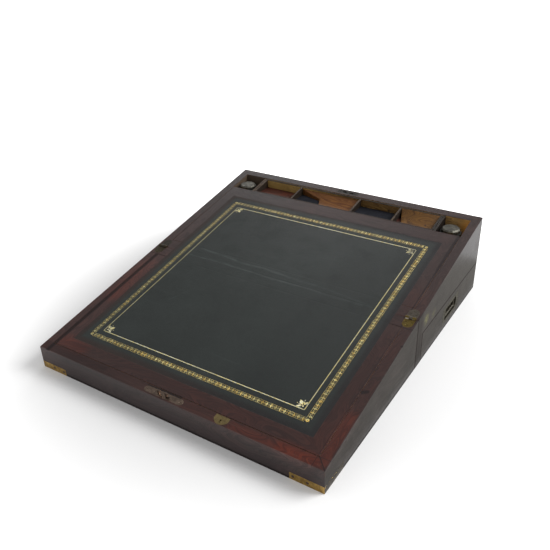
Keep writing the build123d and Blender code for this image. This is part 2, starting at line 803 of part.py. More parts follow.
def tray_linings():
    """Thin dark pads on the floor of the hollow and of the third compartment."""
    pad = block(compartment(2), tray_inner_y(), (TRAY_TOP, TRAY_TOP + LINING))
    return group([pad, prism(hollow_corners(LINING_GAP), TRAY_TOP, TRAY_TOP + LINING / 2)])


# Inkwells: a square glass bottle, a collar round its neck and a hinged cap

BOTTLE = 0.85 * CELL_WIDTH
CELL_MIDDLE = INNER_X - CELL_WIDTH / 2
BOTTLE_SHIFT = 2.5  # each bottle stands this far left of its cell's middle
INKWELL_Y = (WELL_FRONT + INNER_Y) / 2 - 1.6  # room behind for the open cap
BOTTLE_CORNER = 4.0
GLASS = 4.0
NECK_RADIUS = 11.5
NECK_BORE = 8.5
NECK_HEIGHT = 6.0
COLLAR_RADIUS = 16.5
CAP_RADIUS = 14.5
CAP_SIDES = 12
CAP_HEIGHT = 6.5
CAP_CROWN = 2.0  # height of the bevelled part
CAP_TAPER = 45.0  # degrees that the crown's facets lean in
CAP_WALL = 3.5
CAP_GAP = 0.5  # between the cap and the bottle's neck
CAP_DROP = 0.3  # of the crown under the writing face
CAP_HINGE_RADIUS = 1.3
CAP_HINGE_SINK = 0.4  # how far the hinge is let into the collar
LUG_SPACING = 8.0
LUG_WIDTH = 2.4
LUG_HEIGHT = 3.0
CAP_TOP = face_z(INKWELL_Y - CAP_RADIUS) - CAP_DROP
CAP_SEAT = CAP_TOP - CAP_HEIGHT
NECK_TOP = CAP_SEAT - CAP_GAP
SHOULDER = NECK_TOP - NECK_HEIGHT
CAP_HINGE_Y = COLLAR_RADIUS + CAP_HINGE_RADIUS - CAP_HINGE_SINK  # behind the bottle's middle
ON_END = (Align.CENTER, Align.CENTER, Align.MIN)


def inkwell_place(hand, z=0.0):
    return Pos(hand * CELL_MIDDLE - BOTTLE_SHIFT, INKWELL_Y, z)


def inkwell_glass(hand):
    """The bottle: square with chamfered corners, a round neck and a hollow inside."""
    height = SHOULDER - WELL_FLOOR
    body = Box(BOTTLE, BOTTLE, height, align=ON_END)
    body = chamfer(body.edges().filter_by(Axis.Z), BOTTLE_CORNER)
    body = chamfer(body.faces().sort_by(Axis.Z)[-1].edges(), BOTTLE_CORNER / 2)
    body += Pos(0, 0, height) * Cylinder(NECK_RADIUS, NECK_HEIGHT, align=ON_END)
    body -= Pos(0, 0, GLASS) * Cylinder(BOTTLE / 2 - GLASS, height - 2 * GLASS, align=ON_END)
    body -= Pos(0, 0, GLASS) * Cylinder(NECK_BORE, height + NECK_HEIGHT, align=ON_END)
    return inkwell_place(hand, WELL_FLOOR) * body


def cap_hinge(radius, length, x=0.0):
    """A rod along the line that the cap turns about, centred at x."""
    return Pos(x, CAP_HINGE_Y, CAP_SEAT) * Rot(0, 90, 0) * Cylinder(radius, length)


def inkwell_collar(hand):
    """The ring round the bottle's neck, carrying the two outer knuckles of the cap's hinge."""
    height = NECK_HEIGHT - CAP_GAP
    ring = Cylinder(COLLAR_RADIUS, height, align=ON_END)
    ring -= Cylinder(NECK_RADIUS + LET_IN, height, align=ON_END)
    ring = Pos(0, 0, NECK_TOP - height) * ring
    half = LUG_WIDTH / 2
    for x in (-LUG_SPACING / 2, LUG_SPACING / 2):
        y = (COLLAR_RADIUS - CAP_HINGE_RADIUS, CAP_HINGE_Y)
        ring += block((x - half, x + half), y, (CAP_SEAT - LUG_HEIGHT, CAP_SEAT))
        ring += cap_hinge(CAP_HINGE_RADIUS, LUG_WIDTH, x)
    ring -= cap_hinge(CAP_HINGE_RADIUS + KNUCKLE_GAP, LUG_SPACING - LUG_WIDTH - KNUCKLE_GAP / 2)
    ring -= cap_hinge(PIN_RADIUS / 2 + RUNNING_FIT, 2 * LUG_SPACING)
    return inkwell_place(hand) * ring


def inkwell_cap(hand):
    """The faceted cap with its own knuckle and hinge pin."""
    straight = CAP_HEIGHT - CAP_CROWN
    skirt = extrude(RegularPolygon(CAP_RADIUS, CAP_SIDES), amount=straight)
    crown = extrude(RegularPolygon(CAP_RADIUS, CAP_SIDES), amount=CAP_CROWN, taper=CAP_TAPER)
    hollow = Cylinder(CAP_RADIUS - CAP_WALL, straight - CAP_GAP, align=ON_END)
    cap = Pos(0, 0, CAP_SEAT) * (skirt + Pos(0, 0, straight) * crown - hollow)
    half = (LUG_SPACING - LUG_WIDTH) / 2 - 2 * KNUCKLE_GAP
    tab = (CAP_SEAT + KNUCKLE_GAP, CAP_SEAT + CAP_HINGE_RADIUS)
    cap += block((-half, half), (CAP_RADIUS - CAP_WALL / 2, CAP_HINGE_Y), tab)
    cap += cap_hinge(CAP_HINGE_RADIUS, 2 * half)
    cap += cap_hinge(PIN_RADIUS / 2, LUG_SPACING + LUG_WIDTH)
    return inkwell_place(hand) * cap


# Walls with everything let into them


def base_back_wall():
    wall = end_wall(1) - drawer_opening() - lock_mortise()
    wall -= escutcheon(LET_IN)
    return wall - key_plane() * keyhole(WALL / 2)


def base_left_wall():
    wall = side_wall(1, -1) - handle_plane(-1) * handle_body(LET_IN)
    for hole in screw_holes(handle_screw_places(-1)):
        wall -= hole
    return wall


def lid_front_wall():
    link = rounded_plate(LINK_LENGTH + 2 * LET_IN, PLATE_WIDTH + 2 * LET_IN, PLATE + RIM_DROP)
    wall = end_wall(-1) - FACE * Pos(LOCK_X, -LOCK_LINE, 0) * link - flap_lock_mortise()
    for hand in (-1, 1):
        wall -= corner_strap(hand, LET_IN)
    for hole in screw_holes(link_screw_places() + strap_screw_places(-1) + strap_screw_places(1)):
        wall -= hole
    return wall


def lid_side_wall(hand):
    wall = side_wall(-1, hand) - corner_strap(hand, LET_IN)
    for hole in screw_holes(strap_screw_places(hand)):
        wall -= hole
    return wall


def straps():
    shapes = []
    for hand in (-1, 1):
        strap = corner_strap(hand)
        for hole in screw_holes(strap_screw_places(hand)):
            strap -= hole
        shapes.append(strap)
    return group(shapes)


def front_flap():
    """The flap over the lid's paper well, mortised for its lock's bolt."""
    return flap_board(-1) - flap_bolt_channel()


def both(make, *args):
    """The same piece on the left and on the right, as one node."""
    return group([make(*args, hand) for hand in (-1, 1)])


def leaf_screws(side):
    return screws_at(leaf_screw_places(side, -1) + leaf_screw_places(side, 1))


NODES = {
    "base_back_wall": base_back_wall(),
    "base_left_wall": base_left_wall(),
    "base_right_wall": side_wall(1, 1) - drawer_opening(),
    "base_hinge_wall": hinge_wall(1),
    "base_bottom": inner_board(1, 0, BOARD),
    "drawer_shelf": inner_board(1, DRAWER_TOP, SHELF),
    "base_side_ledges": side_ledges(1, WELL_FRONT - BULKHEAD),
    "base_hinge_leather": hinge_leather(1),
    "base_hinge_leaves": both(hinge_leaf, 1),
    "base_hinge_screws": leaf_screws(1),
    "well_bulkhead": well_bulkhead(),
    "well_floor": well_floor(),
    "well_dividers": well_dividers(),
    "tray_rests": tray_rests(),
    "lock_case": lock_case(),
    "lock_selvedge": lock_selvedge(),
    "lock_bolt": lock_bolt(),
    "lock_escutcheon": escutcheon(),
    "left_handle_plate": handle_plate(-1),
    "left_handle_bail": handle_bail(-1),
    "left_handle_screws": screws_at(handle_screw_places(-1)),
    "lid_front_wall": lid_front_wall(),
    "lid_left_wall": lid_side_wall(-1),
    "lid_right_wall": lid_side_wall(1),
    "lid_hinge_wall": hinge_wall(-1),
    "lid_board": inner_board(-1, 0, BOARD),
    "lid_front_ledge": front_ledge(),
    "lid_side_ledges": side_ledges(-1, -INNER_Y),
    "lid_hinge_leather": hinge_leather(-1),
    "lid_hinge_leaves": both(hinge_leaf, -1),
    "lid_hinge_pins": both(hinge_pin),
    "lid_hinge_screws": leaf_screws(-1),
    "lid_corner_straps": straps(),
    "lid_plate_screws": screws_at(link_screw_places() + strap_screw_places(-1) + strap_screw_places(1)),
    "link_plate": link_plate(),
    "flap_lock": flap_lock(),
    "flap_lock_bolt": flap_bolt(),
    "front_flap": front_flap(),
    "front_leather": flap_leather(-1),
    "rear_flap": flap_board(1),
    "rear_leather": flap_leather(1),
    "drawer_front": drawer_front(),
    "drawer_sides": drawer_sides(),
    "drawer_end": drawer_end(),
    "drawer_bottom": drawer_bottom(),
    "drawer_handle_plate": handle_plate(1),
    "drawer_handle_bail": handle_bail(1),
    "drawer_handle_screws": screws_at(handle_screw_places(1)),
    "tray_floor": tray_floor(),
    "tray_long_walls": tray_long_walls(),
    "tray_partitions": tray_partitions(),
    "pen_rest": pen_rest(),
    "pen_scoop": pen_scoop(),
    "tray_linings": tray_linings(),
    "left_inkwell_glass": inkwell_glass(-1),
    "left_inkwell_collar": inkwell_collar(-1),
    "left_inkwell_cap": inkwell_cap(-1),
    "right_inkwell_glass": inkwell_glass(1),
    "right_inkwell_collar": inkwell_collar(1),
    "right_inkwell_cap": inkwell_cap(1),
}

for name, shape in NODES.items():
    export_step(shape, f"parts/{name}.step")
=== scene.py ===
"""Finish, gilding and light for a folding writing slope, dressed over its measured frame.

Lengths here are millimetres until a mesh is written, which is in metres.  X runs across the slope,
Y from front to back and Z up.  On the writing face, "up" is the distance up the slope from the fold.
"""

import json
from functools import reduce
from math import atan2, copysign, cos, pi, radians, sin, tan
from operator import or_

import bmesh
import bpy
from mathutils import Matrix, Vector, noise

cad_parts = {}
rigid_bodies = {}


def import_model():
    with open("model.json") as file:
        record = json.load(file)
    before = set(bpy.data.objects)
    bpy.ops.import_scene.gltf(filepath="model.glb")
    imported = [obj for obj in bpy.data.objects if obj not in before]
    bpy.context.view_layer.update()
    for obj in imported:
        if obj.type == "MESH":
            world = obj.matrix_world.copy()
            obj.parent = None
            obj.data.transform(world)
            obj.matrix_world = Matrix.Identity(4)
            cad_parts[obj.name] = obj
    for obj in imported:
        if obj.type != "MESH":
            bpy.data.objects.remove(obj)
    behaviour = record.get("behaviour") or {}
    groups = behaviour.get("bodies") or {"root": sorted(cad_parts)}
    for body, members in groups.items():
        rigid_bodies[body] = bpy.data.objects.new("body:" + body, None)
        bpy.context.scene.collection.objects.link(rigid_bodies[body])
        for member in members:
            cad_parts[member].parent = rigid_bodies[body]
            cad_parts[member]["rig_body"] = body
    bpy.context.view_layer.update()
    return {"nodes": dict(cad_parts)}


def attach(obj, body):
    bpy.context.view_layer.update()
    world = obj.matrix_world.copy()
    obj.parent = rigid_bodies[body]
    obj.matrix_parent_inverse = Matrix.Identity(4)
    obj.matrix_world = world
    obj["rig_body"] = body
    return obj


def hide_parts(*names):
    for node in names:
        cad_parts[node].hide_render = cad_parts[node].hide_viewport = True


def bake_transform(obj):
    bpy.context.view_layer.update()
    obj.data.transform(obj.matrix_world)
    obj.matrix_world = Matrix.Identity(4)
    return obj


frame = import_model()
nodes = frame["nodes"]
scene = bpy.context.scene
MM = 0.001

# The writing face: it rises from the fold at this pitch, and the skin lies just under it.
FOLD_HEIGHT = 80.0
PITCH = atan2(46.0, 255.0)
RIM_DROP = 0.15
LEATHER = 1.2
LEATHER_X = 192.0
SKIN_FRONT = -225.4
SKIN_BACK = 172.45
FLAP_HINGE_Y = 20.25
SKIN_SPLIT_Y = 10.0
SKIN_ROWS, SKIN_COLUMNS = 60, 72
SKIN_DROP = 0.02  # of the skin's top under its own level
EDGE_DROP = 0.08  # of its outer edge
SWELL, SWELL_LENGTH = 0.05, 38
CREASE_DEPTH, CREASE_HALF = 0.1, 1.1


def face_point(x, up, rise=0.0):
    """A point on the writing face, rise millimetres square out of it, in metres."""
    y = up * cos(PITCH) - rise * sin(PITCH)
    z = FOLD_HEIGHT + up * sin(PITCH) + rise * cos(PITCH)
    return Vector((x, y, z)) * MM


def placed(name, data):
    """An object of its own in the scene."""
    thing = bpy.data.objects.new(name, data)
    scene.collection.objects.link(thing)
    return thing


# Camera and light


def make_camera():
    azimuth, elevation, roll = radians(33.33), radians(29.482), radians(-1.807)
    distance, focal = 1093.174, 655.397
    target = Vector((-60.869, 95.267, 21.502))
    back = Vector((sin(azimuth) * cos(elevation), -cos(azimuth) * cos(elevation), sin(elevation)))
    right = Vector((0, 0, 1)).cross(back).normalized()
    up = back.cross(right)
    turned_right = right * cos(roll) + up * sin(roll)
    turned_up = up * cos(roll) - right * sin(roll)
    data = bpy.data.cameras.new("photographer")
    data.sensor_width = 36.0
    data.lens = focal / 550 * data.sensor_width
    data.clip_start, data.clip_end = 0.02, 20.0
    camera = placed("photographer", data)
    turn = Matrix((turned_right, turned_up, back)).transposed().to_4x4()
    camera.matrix_world = Matrix.Translation((target + back * distance) * MM) @ turn
    scene.camera = camera


def soft_lamp(name, place, size, power):
    """A square soft box at place, in metres, facing the slope."""
    data = bpy.data.lights.new(name, "AREA")
    data.shape = "SQUARE"
    data.size = size
    data.energy = power
    aim = Vector((0, 0, 0.05)) - Vector(place)
    turn = aim.to_track_quat("-Z", "Y").to_matrix().to_4x4()
    placed(name, data).matrix_world = Matrix.Translation(place) @ turn


# Material building: every material and group is worked out from fields


class Field:
    """A number, colour or vector that changes over a surface; a | b is the greater of the two."""

    def __init__(self, socket):
        self.socket = socket
        self.tree = socket.id_data

    def __add__(self, other):
        return maths("ADD", self, other)

    def __sub__(self, other):
        return maths("SUBTRACT", self, other)

    def __rsub__(self, other):
        return maths("SUBTRACT", other, self)

    def __mul__(self, other):
        return maths("MULTIPLY", self, other)

    def __truediv__(self, other):
        return maths("DIVIDE", self, other)

    def __or__(self, other):
        return maths("MAXIMUM", self, other)

    def __abs__(self):
        return maths("ABSOLUTE", self)


def fill(socket, value):
    """A field linked to a socket, or a plain value set on it."""
    if isinstance(value, Field):
        socket.id_data.links.new(value.socket, socket)
    else:
        socket.default_value = value


def node(tree, kind, inputs, **settings):
    """A node with its sockets filled by name or number."""
    made = tree.nodes.new(kind)
    for name, value in settings.items():
        setattr(made, name, value)
    for name, value in inputs.items():
        fill(made.inputs[name], value)
    return made


def field(kind, inputs, output=0, tree=None, **settings):
    """A shader node's output, in the tree given or else that of the fields it is worked out from."""
    if tree is None:
        tree = next(value.tree for value in inputs.values() if isinstance(value, Field))
    return Field(node(tree, "ShaderNode" + kind, inputs, **settings).outputs[output])


def maths(operation, a, b=0.0):
    return field("Math", {0: a, 1: b}, operation=operation)


def vectors(operation, a, b=(0, 0, 0), output=0):
    """Vectors put together; output 1 is the plain number of a dot product, distance or length."""
    return field("VectorMath", {0: a, 1: b}, output, operation=operation)


def split(vector):
    """A vector's X, Y and Z."""
    return [Field(socket) for socket in node(vector.tree, "ShaderNodeSeparateXYZ", {0: vector}).outputs]


def mixed(factor, a, b, blend="MIX"):
    """Colour a going to colour b by factor."""
    return field("Mix", {0: factor, 6: a, 7: b}, 2, data_type="RGBA", blend_type=blend)


def between(value, low, high, new_low=0.0, new_high=1.0):
    """Value from low to high, spread smoothly over new_low to new_high."""
    inputs = {"Value": value, "From Min": low, "From Max": high, "To Min": new_low, "To Max": new_high}
    return field("MapRange", inputs, interpolation_type="SMOOTHSTEP")


def cloud(vector, scale, detail=4.0, rough=0.55, warp=0.0, output="Fac"):
    inputs = {"Vector": vector, "Scale": scale, "Detail": detail, "Roughness": rough, "Distortion": warp}
    return field("TexNoise", inputs, output)


def mapped(vector, scale=(1, 1, 1), turn=(0, 0, 0), shift=(0, 0, 0)):
    return field("Mapping", {"Vector": vector, "Location": shift, "Rotation": turn, "Scale": scale})


def node_group(name, inputs, outputs, kind="ShaderNodeTree"):
    """An empty node group with sockets of these labels and kinds, its inputs as fields and its output sockets."""
    tree = bpy.data.node_groups.new(name, kind)
    for way, sockets in (("INPUT", inputs), ("OUTPUT", outputs)):
        for label, holds in sockets.items():
            tree.interface.new_socket(label, in_out=way, socket_type="NodeSocket" + holds)
    given = tree.nodes.new("NodeGroupInput").outputs
    return tree, [Field(given[label]) for label in inputs], tree.nodes.new("NodeGroupOutput").inputs


def use(group, vector, **inputs):
    """A node group's outputs as fields, by name; an input's name has _ for a space."""
    named = {name.replace("_", " ").capitalize(): value for name, value in inputs.items()}
    made = node(vector.tree, "ShaderNodeGroup", {"Vector": vector, **named}, node_tree=group)
    return {socket.name: Field(socket) for socket in made.outputs}


def colour(red, green, blue):
    """A colour as it is seen on a screen, turned to the light that it stands for."""
    return tuple(c / 12.92 if c <= 0.04045 else ((c + 0.055) / 1.055) ** 2.4 for c in (red, green, blue)) + (1.0,)


def make_figure():
    """Wood figure along X: long bands, streaks and open pores."""
    inputs = {"Vector": "Vector", "Pale": "Color", "Dark": "Color", "Band width": "Float"}
    tree, given, out = node_group("wood_figure", inputs, {"Color": "Color", "Pores": "Float"})
    vector, pale, dark, band_width = given
    drift = cloud(mapped(vector, (3, 14, 14)), 1.0, 3.0)
    shifted = vectors("ADD", vectors("MULTIPLY", vector, (0.4, 1.0, 1.0)), drift)
    banded = vectors("MULTIPLY", mapped(shifted, (0.06, 1, 1)), maths("DIVIDE", 1000.0, band_width))
    bands = between(cloud(banded, 1.0, 5.0, 0.6, 0.4), 0.34, 0.66)
    streaks = cloud(mapped(vector, (14, 900, 900)), 1.0, 3.0, 0.7)
    wood = mixed(between(bands * 0.72 + streaks * 0.4, 0.15, 0.95), dark, pale)
    pores = between(cloud(mapped(vector, (110, 2600, 2600)), 1.0, 1.0), 0.62, 0.72)
    fill(out["Color"], mixed(pores * 0.6, wood, dark))
    fill(out["Pores"], pores)
    return tree


def make_edge_wear():
    """How worn an edge is: most at a sharp edge, broken up along it."""
    inputs = {"Vector": "Vector", "Reach": "Float", "Amount": "Float"}
    tree, (vector, reach, amount), out = node_group("edge_wear", inputs, {"Wear": "Float"})
    rounded = field("Bevel", {"Radius": reach}, samples=4)
    match = vectors("DOT_PRODUCT", rounded, field("NewGeometry", {}, "Normal", tree), 1)
    patches = between(cloud(vector, 60.0, 5.0, 0.7), 0.42, 0.62)
    fill(out["Wear"], between(match, 0.995, 0.86) * patches * amount)
    return tree


def make_scuffs():
    """Fine scratches in two directions, and cloudy rubbed patches."""
    inputs, outputs = {"Vector": "Vector", "Amount": "Float"}, {"Scratches": "Float", "Rubbed": "Float"}
    tree, (vector, amount), out = node_group("scuffs", inputs, outputs)
    lines = []
    for turn, shift in ((0.5, 0.3), (-0.9, 5.1)):
        hair = mapped(vector, (9, 650, 650), (0.2, 0.1, turn), (shift, 0, 0))
        lines.append(between(cloud(hair, 1.0, 1.0, 0.5, 0.5), 0.71, 0.76))
    fill(out["Scratches"], (lines[0] | lines[1]) * amount)
    fill(out["Rubbed"], between(cloud(vector, 22.0, 6.0, 0.65), 0.4, 0.7))
    return tree


def make_tarnish():
    """Old metal: dull clouds, darker spots and brighter rubbed edges."""
    inputs = {"Vector": "Vector", "Bright": "Color", "Dull": "Color", "Wear": "Float", "Rough": "Float"}
    outputs = {"Color": "Color", "Roughness": "Float", "Height": "Float"}
    tree, (vector, bright, dull, wear, rough), out = node_group("tarnish", inputs, outputs)
    clouds = between(cloud(vector, 140.0, 6.0, 0.7), 0.35, 0.65)
    spots = between(cloud(vector, 900.0, 3.0, 0.6), 0.6, 0.72)
    dullness = (clouds * 0.7 | spots) * (1.0 - wear)
    fill(out["Color"], mixed(dullness, bright, dull))
    fill(out["Roughness"], rough + dullness * 0.3)
    fill(out["Height"], dullness * -1.0)
    return tree


FIGURE = make_figure()
EDGE_WEAR = make_edge_wear()
SCUFFS = make_scuffs()
TARNISH = make_tarnish()


def start_material(name):
    """A material, its Principled shader and the Object coordinates."""
    material = bpy.data.materials.new(name)
    material.use_nodes = True
    tree = material.node_tree
    tree.nodes.clear()
    shader = tree.nodes.new("ShaderNodeBsdfPrincipled")
    node(tree, "ShaderNodeOutputMaterial", {"Surface": Field(shader.outputs[0])})
    return material, shader, field("TexCoord", {}, "Object", tree)


def set_look(shader, **sockets):
    for name, value in sockets.items():
        fill(shader.inputs[name.replace("_", " ").title().replace("Ior", "IOR")], value)


def bumped(height, depth, strength=1.0, under=None):
    """A normal raised by height, depth metres at most."""
    inputs = {"Height": height, "Distance": depth, "Strength": strength}
    if under:
        inputs["Normal"] = under
    return field("Bump", inputs)


def glow_spot(place, centre, radius):
    """One at centre fading to nothing at radius, in metres."""
    return between(vectors("DISTANCE", place, centre, 1), radius, 0.0)


def line_mark(place, start, end, width):
    """One on the straight line from start to end, fading to nothing at width, in metres."""
    a, b = Vector(start), Vector(end)
    along = (b - a).normalized()
    offset = vectors("SUBTRACT", place, a)
    run = maths("MINIMUM", vectors("DOT_PRODUCT", offset, along, 1), (b - a).length) | 0.0
    return between(vectors("DISTANCE", offset, vectors("MULTIPLY", run, along), 1), width, 0.0)


def near_value(value, at, reach):
    """One where value is at, fading to nothing within reach."""
    return between(abs(value - at), reach, 0.0)


def reaches(value, face, soft=0.0008):
    """One where value has come to an outer face, starting soft short of it."""
    met = face - copysign(0.0004, face)
    return between(value, met - copysign(soft, face), met)


def right_facing(place):
    """How far a face is turned to the right, up to one."""
    return split(field("NewGeometry", {}, "Normal", place.tree))[0]


# Where marks and finishes lie on the slope, in metres

ALONG = {"x": (0, 0, 0), "y": (0, 0, pi / 2)}  # turns of the grain
SIDE, HALF_DEPTH = 0.225, 0.255  # the outer faces of the sides, and of the front and back
INNER_X, INNER_Y = 0.2112, 0.2412  # just outside the walls' inner faces
INSET_X, INSET_FRONT, INSET_BACK = 0.192, 0.2218, 0.1697  # edges of the sunk leather
DRAWER_SEAM = 0.04775  # height of the drawer's top edge
DRAWER_FRONT = 0.02025  # where its near edge meets the case
LEFT_SEAM_X, RIGHT_SEAM_X, FLAP_SEAM_Y = 0.2098, 0.2083, -0.2408  # middles of the painted shade round the flaps
LEFT_SEAM, RIGHT_SEAM = 0.0046, 0.0034  # its reach beside the front flap and beside the back of the rear one
FLAP_SEAM_END = 0.195
WELL_MIDDLE = 0.218
WELL_LIGHT_POOL = ((0.211, 0.237, 0.108), 0.024)  # a painted pool of light: its middle and its reach
GLOWS = (  # where the polish is worn to red: a line's ends, its reach and its strength
    ((0.165, -0.25, 0.0345), (0.208, -0.249, 0.0345), 0.017, 1.0),
    ((0.1, -0.25, 0.0345), (0.165, -0.25, 0.0345), 0.014, 0.55),
    ((0.218, -0.245, 0.035), (0.218, -0.18, 0.047), 0.018, 0.6),
    ((-0.2, -0.231, 0.038), (-0.165, -0.233, 0.038), 0.02, 0.5),
    ((-0.203, -0.125, 0.0574), (-0.208, -0.045, 0.0719), 0.025, 0.42),
)
DARK_MARKS = (  # the peg hole, a chip, painted shade in the seam behind the link plate and the open mitre
    ((0.2122, -0.1405, 0.0547), (0.2175, -0.137, 0.0553), 0.0032),
    ((0.2238, -0.0526, 0.0704), (0.2246, -0.052, 0.0706), 0.0022),
    ((-0.034, -0.2438, 0.036), (0.017, -0.2415, 0.0364), 0.0024),
    ((0.2112, -0.2412, 0.0365), (0.2243, -0.2543, 0.0341), 0.0008),
)
OLIVE_RUBS = (((SIDE, 0.0305, 0.0649), 0.013), ((SIDE, 0.0598, 0.0583), 0.011))
# A dark hole on the link plate, a painted highlight along the hinge pins and a painted shadow in the handle's recess:
# their ends and their reach
LINK_HOLE = ((0.0006, -0.2494, 0.0351), (0.003, -0.2488, 0.0352), 0.0024)
PIN_HIGHLIGHT = ((0.2078, -0.0023, 0.0797), (0.2202, -0.0014, 0.08), 0.0013)
HANDLE_RECESS_SHADOW = ((SIDE, 0.160, 0.030), (SIDE, 0.1245, 0.0208), 0.0024)
DULL_FLEURON = ((0.157, 0.134, 0.104), 0.017)  # the corner flower that is most rubbed


def depth_below(y, z):
    """How far a point lies under the writing face."""
    return y * tan(PITCH) + FOLD_HEIGHT * MM - z


def shut_faces(y, z):
    """One on the soles and on the fold's two faces, which are outer faces of the shut box."""
    return between(z, 0.0006, 0.0003) | between(abs(y), 0.0009, 0.0006)


def inside(x, y, z):
    """One on what lies within the walls and under the writing face."""
    across = between(abs(x), INNER_X + 0.0002, INNER_X)
    deep = between(abs(y), INNER_Y + 0.0002, INNER_Y)
    return across * deep * between(depth_below(y, z), 0.0004, 0.001) * (1.0 - shut_faces(y, z))


def fold_seam_shade(y, outer, depth):
    """Painted shade in the fold's seam, above it and down the side."""
    above = near_value(y, 0.0, 0.001) * 0.35 * between(depth, 0.0012, 0.0006)
    return above | near_value(y, 0.0012, 0.0036) * outer


def drawer_seam_shade(y, z, outer):
    """Painted shade in the seam round the drawer's front."""
    behind = between(y, DRAWER_FRONT - 0.00105, DRAWER_FRONT - 0.00005)
    top = near_value(z, DRAWER_SEAM, 0.0021) * behind
    end = near_value(y, DRAWER_FRONT, 0.0026) * between(z, DRAWER_SEAM + 0.001, DRAWER_SEAM)
    return (top | end) * outer


def flap_seam_shade(x, y, depth):
    """Painted shade in the seams round the flaps: broad beside the front one's left and the rear one's far right."""
    left, front = between(x, 0.0, -0.1), between(y, -0.019, -0.02)
    rear_reach = between(y, 0.09, 0.125, 0.0008, RIGHT_SEAM)
    reach = left * front * LEFT_SEAM + (1.0 - left) * rear_reach * between(front, 1.0, 0.0) + 0.0005
    miss = abs(abs(x) - between(left, 0.0, 1.0, RIGHT_SEAM_X, LEFT_SEAM_X))
    beside = between(miss / reach, 1.0, 0.25) * between(y, FLAP_SEAM_END + 0.001, FLAP_SEAM_END)
    before = near_value(y, FLAP_SEAM_Y, 0.0011) * between(x, -0.04, 0.02, 0.3, 0.6)
    behind = near_value(y, -FLAP_HINGE_Y * MM, 0.0014)
    return (beside | before | behind) * between(depth, 0.0014, 0.0008)


def mitred_grain(place, x, y):
    """Grain that turns with a flap's border: along Y at its sides, along X across its front and back."""
    past = y * -1.0 - INSET_FRONT | (y - INSET_BACK) * 0.75 | 0.0
    at_sides = maths("GREATER_THAN", abs(x) - INSET_X, past)
    ways = [mapped(place, turn=ALONG[way]) for way in "xy"]
    return field("Mix", {0: at_sides, 4: ways[0], 5: ways[1]}, 1, data_type="VECTOR")


